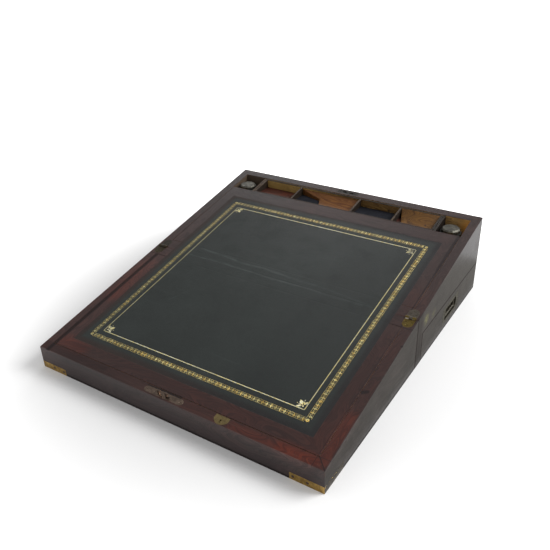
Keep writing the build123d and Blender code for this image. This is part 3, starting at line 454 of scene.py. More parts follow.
def polished_wood(name, grain):
    """Dark red French-polished mahogany and plain golden wood inside, its grain x, y or mitred."""
    material, shader, place = start_material(name)
    x, y, z = split(place)
    depth = depth_below(y, z)
    outer = reaches(x, SIDE, 0.001)
    front = reaches(y, -HALF_DEPTH)
    turned = mitred_grain(place, x, y) if grain == "mitred" else mapped(place, turn=ALONG[grain])
    pale, dark = colour(0.232, 0.146, 0.132), colour(0.168, 0.104, 0.098)
    figure = use(FIGURE, turned, pale=pale, dark=dark, band_width=9.0)
    pale, dark = colour(0.37, 0.15, 0.09), colour(0.27, 0.1, 0.065)
    red = use(FIGURE, turned, pale=pale, dark=dark, band_width=9.0)
    unseen = reaches(y, HALF_DEPTH) | reaches(x, -SIDE) | shut_faces(y, z)
    warm = between(cloud(place, 11.0, 2.0), 0.5, 0.72) * 0.16 | unseen * 0.35
    for start, end, width, strength in GLOWS:
        warm |= line_mark(place, start, end, width) * strength
    wood = mixed(warm, figure["Color"], red["Color"])
    # Painted sheen, with some faded polish: the wood is greyed towards the back and the left, and on the right and
    # front faces, as reflected light; the left end and the front face are also painted lighter.
    faded_and_sheen = between(y, -0.15, 0.2, 0.0, 0.6) * between(x, -0.02, -0.19, 0.42, 1.0)
    faded_and_sheen = faded_and_sheen * between(depth, 0.004, 0.0015) | outer * 0.7 | front * 0.35
    light = between(x, -0.16, -0.21, 1.0, 1.42) * between(front, 0.0, 1.0, 1.0, 1.22)
    wood = field("HueSaturation", {"Saturation": 1.0 - faded_and_sheen, "Value": light, "Color": wood})
    # The foot of the front is painted paler and greyer, as reflected light, and the left half of the rail over it
    # deeper.
    wood = mixed(between(z, 0.022, 0.004, 0.0, 0.5) * front, wood, colour(0.265, 0.22, 0.225))
    rail = between(y, FLAP_SEAM_Y, FLAP_SEAM_Y - 0.0006) * between(x, -0.04, -0.15, 0.0, 0.5)
    wood = mixed(rail * (1.0 - front), wood, colour(0.12, 0.02, 0.02))
    broken = between(cloud(place, 260.0, 4.0, 0.7), 0.4, 0.6)
    rubbed = glow_spot(place, *OLIVE_RUBS[0]) | glow_spot(place, *OLIVE_RUBS[1]) * 0.5
    wood = mixed(rubbed * broken * outer, wood, colour(0.48, 0.47, 0.3))
    # Pale worn edges, which along the rails also stand in for the highlight on an edge.
    wear = use(EDGE_WEAR, place, reach=0.0012, amount=0.45)["Wear"]
    wear = wear * (1.0 - near_value(abs(x), INSET_X, 0.0024))
    wood = mixed(wear, wood, colour(0.4, 0.27, 0.21))
    scuffs = use(SCUFFS, turned, amount=0.5)
    wood = mixed(scuffs["Scratches"] * 0.25, wood, colour(0.42, 0.36, 0.32))
    holes = reduce(or_, [line_mark(place, *mark) for mark in DARK_MARKS])
    strip = near_value(y, 0.0105, 0.013) * outer * 0.4
    # Painted contact shadow along the foot of the walls.
    foot = between(z, 0.0052, 0.0018) * between(z, 0.0003, 0.0007)
    # Painted shade in the seams of the fold, the drawer and the flaps and behind the link plate, and a painted contact
    # shadow at the foot, darken the wood along with the real holes, chip, open mitre and a darker strip by the fold.
    shade_and_marks = fold_seam_shade(y, outer, depth) | drawer_seam_shade(y, z, outer) | flap_seam_shade(x, y, depth)
    shade_and_marks = (shade_and_marks | maths("MINIMUM", holes * 2.6, 1.0) | strip | foot) * 0.9
    wood = mixed(shade_and_marks, wood, colour(0.085, 0.03, 0.032))
    within = inside(x, y, z)
    inner = use(FIGURE, turned, pale=WALL_PALE, dark=WALL_DARK, band_width=7.0)["Color"]
    well = between(y, FLAP_SEAM_END + 0.001, FLAP_SEAM_END + 0.002)
    # The left end of the pen well is painted grey as shade, and its right-hand back corner has a painted pool of
    # light.
    inner = mixed(between(x, -0.155, -0.175, 0.0, 0.9) * well, inner, colour(0.27, 0.24, 0.22))
    inner = mixed(glow_spot(place, *WELL_LIGHT_POOL) * 0.8, inner, colour(1.0, 0.72, 0.34))
    wood = mixed(within, wood, inner)
    dulled = wear | within | shade_and_marks
    rough = between(scuffs["Rubbed"], 0.0, 1.0, 0.35, 0.4) + dulled * 0.25
    set_look(shader, base_color=wood, roughness=rough, specular_ior_level=0.34)
    set_look(shader, coat_weight=between(dulled, 0, 1, 0.12, 0.0), coat_roughness=0.2)
    pores = bumped(figure["Pores"], -0.00003)
    set_look(shader, normal=bumped(scuffs["Scratches"], -0.00003, under=pores))
    return material


def plain_wood(
    name, grain, pale, dark, worn=0.7, right_shade=0.0, front_shade=0.0, left_end_light=None, top_shade=0.0, far_shade=0.0
):
    """Waxed wood of the insides.

    right_shade paints shade on the faces turned to the right, front_shade on what lies in the well's front half,
    top_shade on the upper edges and far_shade on the right-hand end of the well.  left_end_light is a second
    colour, screened over the left end as painted light.
    """
    material, shader, place = start_material(name)
    x, y, z = split(place)
    figure = use(FIGURE, mapped(place, turn=ALONG[grain]), pale=pale, dark=dark, band_width=7.0)
    wood = figure["Color"]
    # Painted light on the left end.
    if left_end_light:
        wood = mixed(between(x, 0.02, -0.11), wood, mixed(0.5, wood, left_end_light, "SCREEN"))
    grime = between(cloud(place, 35.0, 6.0, 0.7), 0.45, 0.75)
    wood = mixed(grime * 0.5, wood, dark)
    stains = between(cloud(place, 90.0, 3.0, 0.6), 0.66, 0.7)
    wood = mixed(stains * 0.7, wood, colour(0.1, 0.09, 0.11))
    wood = mixed(use(EDGE_WEAR, place, reach=0.0008, amount=worn)["Wear"], wood, pale)
    # Painted shade on the upper edges, the right-hand end, the faces turned to the right and the well's front half.
    if top_shade:
        top = between(depth_below(y, z), 0.0018, 0.0011, 0.0, top_shade)
        wood = mixed(top, wood, colour(0.13, 0.1, 0.075))
    if far_shade:
        wood = mixed(between(x, 0.13, 0.14, 0.0, far_shade), wood, colour(0.1, 0.08, 0.06))
    if right_shade:
        facing = between(right_facing(place), 0.6, 0.9, 0.0, right_shade)
        wood = mixed(facing, wood, colour(0.1, 0.08, 0.07))
    if front_shade:
        front = between(y, WELL_MIDDLE + 0.003, WELL_MIDDLE - 0.003, 0.0, front_shade)
        wood = mixed(front, wood, colour(0.14, 0.08, 0.05))
    set_look(shader, base_color=wood, roughness=between(grime, 0, 1, 0.48, 0.72), specular_ior_level=0.3)
    set_look(shader, normal=bumped(figure["Pores"], -0.00006))
    return material


def old_metal(name, bright, dull, rough=0.24, dark_line=None, highlight=None, left_shade=0.0, side_shade=0.0):
    """Tarnished metal; slot is a dark line on it and shine a bright one.

    left_shade greys what lies left of the middle and side_shade the faces turned to the right, both as painted shade.
    The dark line is a hole on the link plate and painted shadow in the handle's recess; the bright one is a painted
    highlight.
    """
    material, shader, place = start_material(name)
    wear = use(EDGE_WEAR, place, reach=0.0006, amount=1.0)["Wear"]
    metal = use(TARNISH, place, bright=bright, dull=dull, wear=wear, rough=rough)
    scuffs = use(SCUFFS, place, amount=1.0)
    base = metal["Color"]
    if left_shade:
        base = mixed(between(split(place)[0], 0.05, -0.05, 0.0, left_shade), base, colour(0.27, 0.255, 0.235))
    if side_shade:
        base = mixed(between(right_facing(place), 0.6, 0.9, 0.0, side_shade), base, colour(0.3, 0.285, 0.27))
    if dark_line:
        base = mixed(line_mark(place, *dark_line), base, colour(0.05, 0.05, 0.05))
    solid = 1.0
    if highlight:
        painted_highlight = line_mark(place, *highlight)
        base = mixed(painted_highlight, base, colour(1.0, 0.97, 0.92))
        solid = 1.0 - painted_highlight * 0.8
    set_look(shader, base_color=base, roughness=metal["Roughness"], metallic=solid)
    pitted = bumped(metal["Height"], 0.00003)
    set_look(shader, normal=bumped(scuffs["Scratches"], -0.00003, under=pitted))
    return material


def bottle_glass():
    """Pressed glass with a faint green cast and dried ink inside."""
    material, shader, place = start_material("bottle_glass")
    waves = cloud(place, 45.0, 2.0)
    stained = between(cloud(place, 80.0, 5.0, 0.7), 0.45, 0.7)
    tint = mixed(stained, colour(0.9, 0.96, 0.93), colour(0.62, 0.68, 0.72))
    set_look(shader, base_color=tint, roughness=between(waves, 0.3, 0.7, 0.03, 0.1))
    set_look(shader, normal=bumped(waves, 0.0003, 0.4), transmission_weight=0.92, ior=1.5)
    return material


def lining_cloth():
    """Dark blue-grey baize pads, with a nap and ink stains."""
    material, shader, place = start_material("dark_lining")
    nap = cloud(place, 2400.0, 3.0, 0.7)
    patches = between(cloud(place, 55.0, 5.0, 0.7), 0.4, 0.68)
    cloth = mixed(patches, colour(0.07, 0.075, 0.095), colour(0.12, 0.125, 0.15))
    cloth = mixed(nap * 0.35, cloth, colour(0.17, 0.178, 0.21))
    set_look(shader, base_color=cloth, roughness=between(nap, 0.3, 0.7, 0.75, 0.95))
    set_look(shader, normal=bumped(nap, 0.0002, 0.5), specular_ior_level=0.15)
    return material


# Marks on the leather, in millimetres across and up the writing face
WRINKLE = ((-150, 19.5), (-135, 18.5), (-73, 13.2), (-29, 14.0), (35, 10.1), (94, 8.4), (156, 0.0))
FOLD_CREASE = ((-158, -1.3), (-102, 1.1), (12, -2.4), (56, -0.1), (104, -3.0), (144, -2.9))
SCRATCHES = (((-118, -104), (-96, -62)), ((74, -62), (132, -48)))


def scar(place, start, end, width):
    """A pale rubbed line on the writing face, width millimetres from its middle to nothing."""
    return line_mark(place, face_point(*start), face_point(*end), width * MM)


def writing_leather():
    """Green-black skiver: fine grain, a rubbed sheen, and marks of use."""
    material, shader, place = start_material("writing_leather")
    x, y = split(place)[:2]
    cells = field("TexVoronoi", {"Vector": place, "Scale": 1500.0}, "Distance", feature="DISTANCE_TO_EDGE")
    patches = between(cloud(place, 9.0, 6.0, 0.62), 0.38, 0.64)
    hide = mixed(patches, colour(0.145, 0.165, 0.158), colour(0.165, 0.187, 0.18))
    mottle = cloud(place, 220.0, 5.0, 0.7)
    hide = mixed(between(mottle, 0.35, 0.75, 0.0, 0.35), hide, colour(0.12, 0.137, 0.13))
    wobble = vectors("SUBTRACT", cloud(place, 30.0, 3.0, 0.5, output="Color"), (0.5, 0.5, 0.5))
    bent = vectors("ADD", vectors("MULTIPLY", wobble, (0.005, 0.005, 0.005)), place)
    marks = [scar(bent, *ends, 1.0) for ends in SCRATCHES]
    for bends, width in ((WRINKLE, 3.4), (FOLD_CREASE, 2.8)):
        marks += [scar(bent, start, end, width) for start, end in zip(bends, bends[1:])]
    broken = between(cloud(place, 70.0, 4.0, 0.7), 0.36, 0.56, 0.35, 1.0)
    scuffs = use(SCUFFS, place, amount=0.8)
    pale = reduce(or_, marks) * broken | scuffs["Scratches"] * 0.6
    hide = mixed(pale * between(x, 0.0, 0.12, 0.17, 0.11), hide, colour(0.42, 0.47, 0.46))
    dim = between(y, 0.02, 0.15) | between(x, -0.02, 0.12)
    hide = mixed(dim * 0.5, hide, colour(0.1, 0.115, 0.11))
    # Outside the gold the leather is browner.
    margin = between(abs(x), 0.1805, 0.1885) | between(y, -0.2095, -0.2186) | between(y, 0.1596, 0.1692)
    edge = mixed(between(x, -0.15, 0.15), colour(0.185, 0.14, 0.125), colour(0.095, 0.085, 0.09))
    hide = mixed(margin * 0.92, hide, edge)
    rough = between(scuffs["Rubbed"], 0.0, 1.0, 0.42, 0.52) + margin * 0.12
    set_look(shader, base_color=hide, roughness=rough, specular_ior_level=0.38)
    grain = bumped(between(cells, 0.0, 0.35), 0.00008, 0.7)
    set_look(shader, normal=bumped(mottle, 0.0002, 0.5, under=grain))
    return material


def gold_leaf():
    """Leaf pressed into leather, rubbed through here and there, and duller on the left."""
    material, shader, place = start_material("gold_leaf")
    x, y = split(place)[:2]
    thin = between(cloud(place, 320.0, 5.0, 0.75), 0.52, 0.7)
    lost = between(cloud(place, 38.0, 4.0, 0.6), 0.5, 0.75)
    bare = thin * between(lost, 0, 1, 0.3, 0.9)
    # Within the broad band the gold is paler, and duller again along the inner lines at the sides.
    within = between(abs(x), 0.169, 0.165) * between(y, -0.2, -0.197) * between(y, 0.148, 0.144)
    deep = mixed(within, colour(0.98, 0.82, 0.4), colour(1.0, 0.93, 0.62))
    pale = mixed(within, colour(1.0, 0.95, 0.66), colour(1.0, 0.99, 0.86))
    rich = mixed(between(cloud(place, 240.0, 3.0, 0.7), 0.4, 0.6), deep, pale)
    patchy = between(cloud(place, 150.0, 3.0, 0.6), 0.4, 0.58)
    rich = mixed(patchy * between(within, 0.0, 1.0, 0.5, 0.12), rich, colour(0.4, 0.35, 0.16))
    rich = mixed(between(x, -0.09, -0.168, 0.0, 0.36), rich, colour(0.45, 0.46, 0.36))
    beside = between(abs(x), 0.1595, 0.1605)
    rich = mixed(beside * within * 0.4, rich, colour(0.62, 0.56, 0.32))
    rich = mixed(glow_spot(place, *DULL_FLEURON) * 0.75, rich, colour(0.4, 0.4, 0.36))
    set_look(shader, base_color=mixed(bare, rich, colour(0.2, 0.19, 0.13)))
    set_look(shader, metallic=between(bare, 0, 1, 0.2, 0.05), roughness=between(bare, 0, 1, 0.42, 0.6))
    set_look(shader, normal=bumped(thin, -0.00003))
    return material


WALL_PALE, WALL_DARK = colour(0.78, 0.62, 0.38), colour(0.52, 0.39, 0.23)
CASE_X = polished_wood("case_wood_across", "x")
CASE_Y = polished_wood("case_wood_deep", "y")
FLAP_WOOD = polished_wood("flap_border_wood", "mitred")
INNER = colour(0.6, 0.44, 0.22), colour(0.38, 0.25, 0.12)
INSIDE_X = plain_wood("inner_wood_across", "x", *INNER)
INSIDE_Y = plain_wood("inner_wood_deep", "y", *INNER)
# The divider, tray wall, pen rest and scoop are one wood; their different tones are painted light and shade.
DIVIDER_WOOD = plain_wood(
    "divider_wood", "y", colour(0.32, 0.255, 0.19), colour(0.19, 0.15, 0.12), worn=0.3, right_shade=0.8, far_shade=0.85
)
TRAY_WALL = colour(0.56, 0.43, 0.24), colour(0.36, 0.26, 0.14)
TRAY_PAINTED_LIGHT = colour(0.8, 0.66, 0.38)
GOLDEN_WOOD = plain_wood("tray_wall_wood", "x", *TRAY_WALL, front_shade=0.72, left_end_light=TRAY_PAINTED_LIGHT, top_shade=0.95)
REST_WOOD = plain_wood("pen_rest_wood", "x", colour(0.47, 0.305, 0.145), colour(0.34, 0.2, 0.095))
SCOOP_WOOD = plain_wood("scooped_wood", "x", colour(0.46, 0.32, 0.15), colour(0.29, 0.19, 0.09))
RED_FLOOR = plain_wood("tray_floor_wood", "x", colour(0.34, 0.17, 0.12), colour(0.19, 0.1, 0.08))
BRASS = old_metal("toned_brass", colour(0.6, 0.53, 0.36), colour(0.33, 0.28, 0.19))
# The hinges are one brass: the base leaves are painted greyer and all are painted darker on the left, as shade, and
# the pins paler, partly as a painted highlight.
BASE_HINGES = old_metal("base_hinge_shaded_brass", colour(0.46, 0.43, 0.39), colour(0.3, 0.28, 0.25), left_shade=0.75)
LID_HINGES = old_metal(
    "lid_hinge_brass", colour(0.52, 0.45, 0.25), colour(0.33, 0.27, 0.17), left_shade=0.8, highlight=PIN_HIGHLIGHT
)
PINS = old_metal("hinge_pin_brass", colour(0.85, 0.78, 0.55), colour(0.5, 0.44, 0.3), left_shade=0.8, highlight=PIN_HIGHLIGHT)
BRONZE = old_metal("dark_bronze", colour(0.27, 0.255, 0.24), colour(0.16, 0.15, 0.14), 0.36)
STRAPS = old_metal("strap_brass", colour(0.82, 0.68, 0.4), colour(0.49, 0.385, 0.225), side_shade=0.95)
TAUPE = old_metal("dull_plate", colour(0.54, 0.47, 0.42), colour(0.32, 0.28, 0.25), dark_line=LINK_HOLE)
OLIVE = old_metal("olive_brass", colour(0.6, 0.53, 0.37), colour(0.38, 0.33, 0.23))
HANDLES = old_metal("handle_bronze", colour(0.47, 0.45, 0.41), colour(0.34, 0.33, 0.3), dark_line=HANDLE_RECESS_SHADOW)
PALE_METAL = old_metal("dulled_plating", colour(0.42, 0.41, 0.375), colour(0.265, 0.265, 0.255), 0.42)
COLLARS = old_metal("collar_plating", colour(0.43, 0.44, 0.43), colour(0.22, 0.23, 0.23), 0.4)
STEEL = old_metal("bolt_steel", colour(0.7, 0.7, 0.68), colour(0.35, 0.34, 0.33))
GLASS = bottle_glass()
LINING = lining_cloth()
HIDE = writing_leather()
GOLD = gold_leaf()


# Finished copies of the frame's pieces, with their sharp edges eased


def mesh_from(shape, name):
    mesh = bpy.data.meshes.new(name)
    shape.to_mesh(mesh)
    shape.free()
    return mesh


def piece_from(shape, name, material):
    """The shape as a piece of its own, in one material."""
    mesh = mesh_from(shape, name)
    mesh.materials.clear()
    mesh.materials.append(material)
    return placed(name, mesh)


def eased(name, width, material):
    """The node's shape with its edges rounded by width millimetres, in one material."""
    source = nodes[name]
    shape = bmesh.new()
    shape.from_mesh(source.data)
    bmesh.ops.remove_doubles(shape, verts=shape.verts, dist=1e-6)
    bmesh.ops.dissolve_limit(shape, angle_limit=radians(0.5), verts=shape.verts, edges=shape.edges)
    piece = piece_from(shape, name + "_eased", material)
    bevel = piece.modifiers.new("eased_edges", "BEVEL")
    bevel.width = width * MM
    bevel.segments = 2
    bevel.limit_method = "ANGLE"
    bevel.angle_limit = radians(30)
    bevel.harden_normals = False
    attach(piece, source["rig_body"])
    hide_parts(name)


EASED = (  # width of the rounding in millimetres, material and nodes
    (0.7, CASE_X, "base_back_wall"),
    (0.7, CASE_Y, "base_left_wall", "base_right_wall"),
    (0.3, CASE_X, "base_hinge_wall"),
    (0.7, CASE_X, "lid_front_wall"),
    (0.7, CASE_Y, "lid_left_wall", "lid_right_wall"),
    (0.3, CASE_X, "lid_hinge_wall"),
    (0.15, FLAP_WOOD, "front_flap", "rear_flap"),
    (0.6, CASE_Y, "drawer_front"),
    (0.5, DIVIDER_WOOD, "well_dividers"),
    (0.4, GOLDEN_WOOD, "tray_long_walls"),
    (0.4, DIVIDER_WOOD, "tray_partitions"),
    (0.4, REST_WOOD, "pen_rest"),
    (0.4, SCOOP_WOOD, "pen_scoop"),
    (0.3, LINING, "tray_linings"),
    (0.3, STRAPS, "lid_corner_straps"),
    (0.25, TAUPE, "link_plate"),
    (0.2, BRONZE, "lock_selvedge"),
    (0.25, OLIVE, "flap_lock"),
    (0.3, HANDLES, "left_handle_plate", "drawer_handle_plate"),
    (0.3, PALE_METAL, "left_inkwell_cap", "right_inkwell_cap"),
    (0.3, COLLARS, "left_inkwell_collar", "right_inkwell_collar"),
)
PLAIN = (  # what keeps its plain shape; every node named in neither table is brass
    (BASE_HINGES, "base_hinge_leaves", "base_hinge_screws"),
    (LID_HINGES, "lid_hinge_leaves", "lid_hinge_screws"),
    (PINS, "lid_hinge_pins"),
    (CASE_X, "base_bottom", "lid_board"),
    (INSIDE_X, "drawer_shelf", "lid_front_ledge", "well_bulkhead", "drawer_sides", "drawer_bottom"),
    (INSIDE_Y, "base_side_ledges", "lid_side_ledges", "tray_rests", "drawer_end"),
    (RED_FLOOR, "well_floor", "tray_floor"),
    (STEEL, "lock_bolt", "flap_lock_bolt"),
    (BRONZE, "lock_case"),
    (TAUPE, "lid_plate_screws"),
    (HANDLES, "left_handle_bail", "drawer_handle_bail", "left_handle_screws", "drawer_handle_screws"),
    (GLASS, "left_inkwell_glass", "right_inkwell_glass"),
)
plain = {name: material for material, *names in PLAIN for name in names}
for name, piece in nodes.items():
    piece.data.materials.clear()
    piece.data.materials.append(plain.get(name, BRASS))
for width, material, *names in EASED:
    for name in names:
        eased(name, width, material)


# The leather skin: three lengths that meet on the hinge walls


def skin_height(x, up):
    """Height of the skin's top over the writing face: a slight swell, dipping at each crease."""
    height = SWELL * noise.noise(Vector((x, up, 0)) / SWELL_LENGTH) - SKIN_DROP - RIM_DROP
    for crease in (-FLAP_HINGE_Y, 0.0, FLAP_HINGE_Y):
        height -= CREASE_DEPTH * max(0.0, 1 - abs(up * cos(PITCH) - crease) / CREASE_HALF)
    return height


def skin(name, low, high, rows_near):
    """One length of the skin from low to high up the slope, closed, with extra rows at its hinge."""
    even = [low + (high - low) * i / SKIN_ROWS for i in range(1, SKIN_ROWS)]
    ups = [low] + sorted(up for up in set(even + rows_near) if low < up < high) + [high]
    across = [-LEATHER_X + 2 * LEATHER_X * i / SKIN_COLUMNS for i in range(SKIN_COLUMNS + 1)]
    shape = bmesh.new()
    top, under = [], []
    for up in ups:
        top_row, under_row = [], []
        for x in across:
            turned_down = EDGE_DROP if abs(x) == LEATHER_X or up in (SKIN_FRONT, SKIN_BACK) else 0.0
            top_row.append(shape.verts.new(face_point(x, up, skin_height(x, up) - turned_down)))
            under_row.append(shape.verts.new(face_point(x, up, -RIM_DROP - LEATHER)))
        top.append(top_row)
        under.append(under_row)
    for i in range(len(ups) - 1):
        for j in range(len(across) - 1):
            shape.faces.new((top[i][j], top[i][j + 1], top[i + 1][j + 1], top[i + 1][j]))
            shape.faces.new((under[i + 1][j], under[i + 1][j + 1], under[i][j + 1], under[i][j]))
    for i in range(len(ups) - 1):
        shape.faces.new((top[i][0], top[i + 1][0], under[i + 1][0], under[i][0]))
        shape.faces.new((top[i + 1][-1], top[i][-1], under[i][-1], under[i + 1][-1]))
    for j in range(len(across) - 1):
        shape.faces.new((top[0][j + 1], top[0][j], under[0][j], under[0][j + 1]))
        shape.faces.new((top[-1][j], top[-1][j + 1], under[-1][j + 1], under[-1][j]))
    shape.normal_update()
    return piece_from(shape, name, HIDE)


def near(up):
    """Rows half a millimetre apart, 4 mm to each side."""
    return [up + 0.5 * i for i in range(-8, 9)]


# Gold tooling: flat shapes laid out across (X) and up (Y) the writing face, then laid on the skin

GOLD_SHIFT = 0.4  # the whole border lies this far right of the middle
BAND_X = 174.0  # middle of the broad band from the centre line
BAND_FRONT = -207.3
BAND_BACK = 154.0
BAND_HALF = 2.95  # from its middle to each row of beads
BAND_END = 6.0  # from a corner of the band to the first stamp
BAND_SPACING = 6.2
BEAD = 0.95
DASH = 1.25
DASH_SPACING = 1.85
LINE_X = 162.9
LINE_FRONT = -195.5
LINE_BACK = 142.0
LEAF_RISE = 0.03  # of the gold above the skin
LEAF_SINK = 0.12
LINE_WIDTH = 0.6
FLOWER_INSET = 1.6  # of a corner flower's root from the corner of the inner line
PETAL = ((0.3, -0.8), (0.6, -1.0), (1.0, 0.0), (0.6, 1.0), (0.3, 0.8), (0.0, 0.0))  # along it, and out from its middle


def outline_prism(shape, points):
    """A thin closed leaf of gold with this flat outline, given anticlockwise in millimetres."""
    low = [shape.verts.new(Vector((x, y, -LEAF_SINK)) * MM) for x, y in points]
    high = [shape.verts.new(Vector((x, y, LEAF_RISE)) * MM) for x, y in points]
    shape.faces.new(high)
    shape.faces.new(low[::-1])
    for i in range(len(points)):
        j = (i + 1) % len(points)
        shape.faces.new((low[i], low[j], high[j], high[i]))


def moved(points, at, angle):
    """Flat points turned by angle and moved to a place."""
    return [(at[0] + x * cos(angle) - y * sin(angle), at[1] + x * sin(angle) + y * cos(angle)) for x, y in points]


def petal(start, angle, length, width):
    """Outline of a pointed leaf growing from start at angle."""
    return moved([(run * length, side * width / 2) for run, side in PETAL], start, angle)


def crescent(centre, radius, start, sweep, width, steps=7):
    """Outline of a curved stroke, widest in its middle."""
    outer, inner = [], []
    for i in range(steps + 1):
        turn = start + sweep * i / steps
        half = width / 2 * (0.25 + 0.75 * sin(pi * i / steps))
        for row, reach in ((outer, radius + half), (inner, radius - half)):
            row.append((centre[0] + reach * cos(turn), centre[1] + reach * sin(turn)))
    return outer + inner[::-1]


def press(shape, outlines, at=(0.0, 0.0), angle=0.0):
    """The outlines added to a shape, turned by angle and moved to a place on the writing face."""
    for points in outlines:
        outline_prism(shape, moved(points, at, angle))


def band_stamp():
    """One repeat of the band: a four-petalled flower between scrolls, with a row of beads each side."""
    ways = (0, pi / 2, pi, 3 * pi / 2)
    outlines = [petal((0.2 * cos(a), 0.2 * sin(a)), a, 1.95 + 0.35 * abs(sin(a)), 1.6) for a in ways]
    for side in (-1, 1):
        outlines.append(crescent((BAND_SPACING / 2, side * 1.75), 0.85, side * pi / 2 + pi - 1.4, 2.8, 0.5))
        for i in range(4):
            bead = ((i - 1.5) * BAND_SPACING / 4 - BEAD / 2, side * BAND_HALF)
            outlines.append(petal(bead, 0, BEAD, BEAD))
    outlines.append(petal((BAND_SPACING / 2 - 0.45, 0), 0, 0.9, 0.6))
    return outlines


def dash_stamp():
    """One short dash of the inner line, its corners cut."""
    half, side, cut = DASH / 2, 0.66, 0.3
    right = [(half - cut, -side), (half, cut - side), (half, side - cut), (half - cut, side)]
    return [right + [(-x, -y) for x, y in right]]


def rosette():
    """The eight-petalled flower that closes the band at a corner."""
    return [petal((0.4 * cos(a), 0.4 * sin(a)), a, 2.3, 1.3) for a in (i * pi / 4 for i in range(8))]


def fleuron():
    """The corner flower: a broad petal along X, a petal out to each side, and small leaves between."""
    outlines = [petal((5.6, 0), 0, 8.6, 4.6), petal((2.0, 0), 0, 3.4, 2.0)]
    for side in (-1, 1):
        outlines.append(petal((4.9, side), side * 1.25, 7.4, 2.6))
        outlines.append(petal((6.0, side * 1.6), side * 0.62, 4.6, 1.2))
        outlines.append(crescent((4.0, side * 4.6), 1.3, side * 0.4, side * 3.4, 0.6))
        outlines.append(petal((10.6, side * 4.4), side * 0.7, 1.5, 1.1))
    return outlines


def stamping_tree():
    """Geometry nodes: stamps set along the given edges, turned along them and pressed a little unevenly."""
    inputs = {"Geometry": "Geometry", "Stamp": "Object", "Spacing": "Float", "Shake": "Float", "Gold": "Material"}
    tree, given, out = node_group("stamped_along_a_line", inputs, {"Geometry": "Geometry"}, "GeometryNodeTree")
    edges, stamp, spacing, shake, gold = given

    def step(kind, inputs, output=0, **settings):
        return Field(node(tree, kind, inputs, **settings).outputs[output])

    line = step("GeometryNodeMeshToCurve", {"Mesh": edges})
    count = step("GeometryNodeSplineLength", {}, "Length") / spacing + 1.5
    points = step("GeometryNodeResampleCurve", {"Curve": line, "Count": count})
    tangent = step("GeometryNodeInputTangent", {})
    turn = step("FunctionNodeAlignRotationToVector", {"Vector": tangent}, axis="X", pivot_axis="Z")
    limits = {"Min": (-1, -1, 0), "Max": (1, 1, 0), "Seed": 7}
    drawn = step("FunctionNodeRandomValue", limits, data_type="FLOAT_VECTOR")
    uneven = step("GeometryNodeSetPosition", {"Geometry": points, "Offset": vectors("MULTIPLY", drawn, shake)})
    shape = step("GeometryNodeObjectInfo", {"Object": stamp}, "Geometry")
    copies = step("GeometryNodeInstanceOnPoints", {"Points": uneven, "Instance": shape, "Rotation": turn})
    real = step("GeometryNodeRealizeInstances", {"Geometry": copies})
    fill(out["Geometry"], step("GeometryNodeSetMaterial", {"Geometry": real, "Material": gold}))
    return tree


def stamped(tree, edges, stamp, spacing, shake):
    """A plain mesh of the stamp repeated along each edge, given as pairs of flat points in millimetres."""
    mesh = bpy.data.meshes.new("stamp_line")
    points = [Vector((x, y, 0)) * MM for edge in edges for x, y in edge]
    mesh.from_pydata(points, [(2 * i, 2 * i + 1) for i in range(len(edges))], [])
    line = placed("stamp_line", mesh)
    stamping = line.modifiers.new("stamping", "NODES")
    stamping.node_group = tree
    given = {"Stamp": stamp, "Spacing": spacing * MM, "Shake": shake * MM, "Gold": GOLD}
    for item in tree.interface.items_tree:
        if item.in_out == "INPUT" and item.name in given:
            stamping[item.identifier] = given[item.name]
    line.update_tag()
    result = bpy.data.meshes.new_from_object(line.evaluated_get(bpy.context.evaluated_depsgraph_get()))
    bpy.data.objects.remove(line)
    return result


def gold_line(shape, x, front, back, width, step=6.0):
    """A mitred rectangle of gold line whose middle runs at x each side, in short lengths."""
    half = width / 2
    corners = [(-x, front), (x, front), (x, back), (-x, back)]
    outward = [(-half, -half), (half, -half), (half, half), (-half, half)]
    for i in range(4):
        (ax, ay), (bx, by) = corners[i], corners[(i + 1) % 4]
        (px, py), (qx, qy) = outward[i], outward[(i + 1) % 4]
        count = round(max(abs(bx - ax), abs(by - ay)) / step)
        rows = []
        for side in (1, -1):
            (sx, sy), (ex, ey) = (ax + side * px, ay + side * py), (bx + side * qx, by + side * qy)
            rows.append([(sx + (ex - sx) * k / count, sy + (ey - sy) * k / count) for k in range(count + 1)])
        outer, inner = rows
        for k in range(count):
            outline_prism(shape, [outer[k], outer[k + 1], inner[k + 1], inner[k]])


def ready_stamp(name, outlines):
    """A stamp as an object of its own, for the stamping tree."""
    shape = bmesh.new()
    press(shape, outlines)
    bmesh.ops.recalc_face_normals(shape, faces=shape.faces)
    return bpy.data.objects.new(name, mesh_from(shape, name))


def rectangle_sides(x, front, back, end):
    """The four sides of a rectangle, each stopping end short of its corners."""
    return [
        ((end - x, front), (x - end, front)),
        ((x, front + end), (x, back - end)),
        ((x - end, back), (end - x, back)),
        ((-x, back - end), (-x, front + end)),
    ]


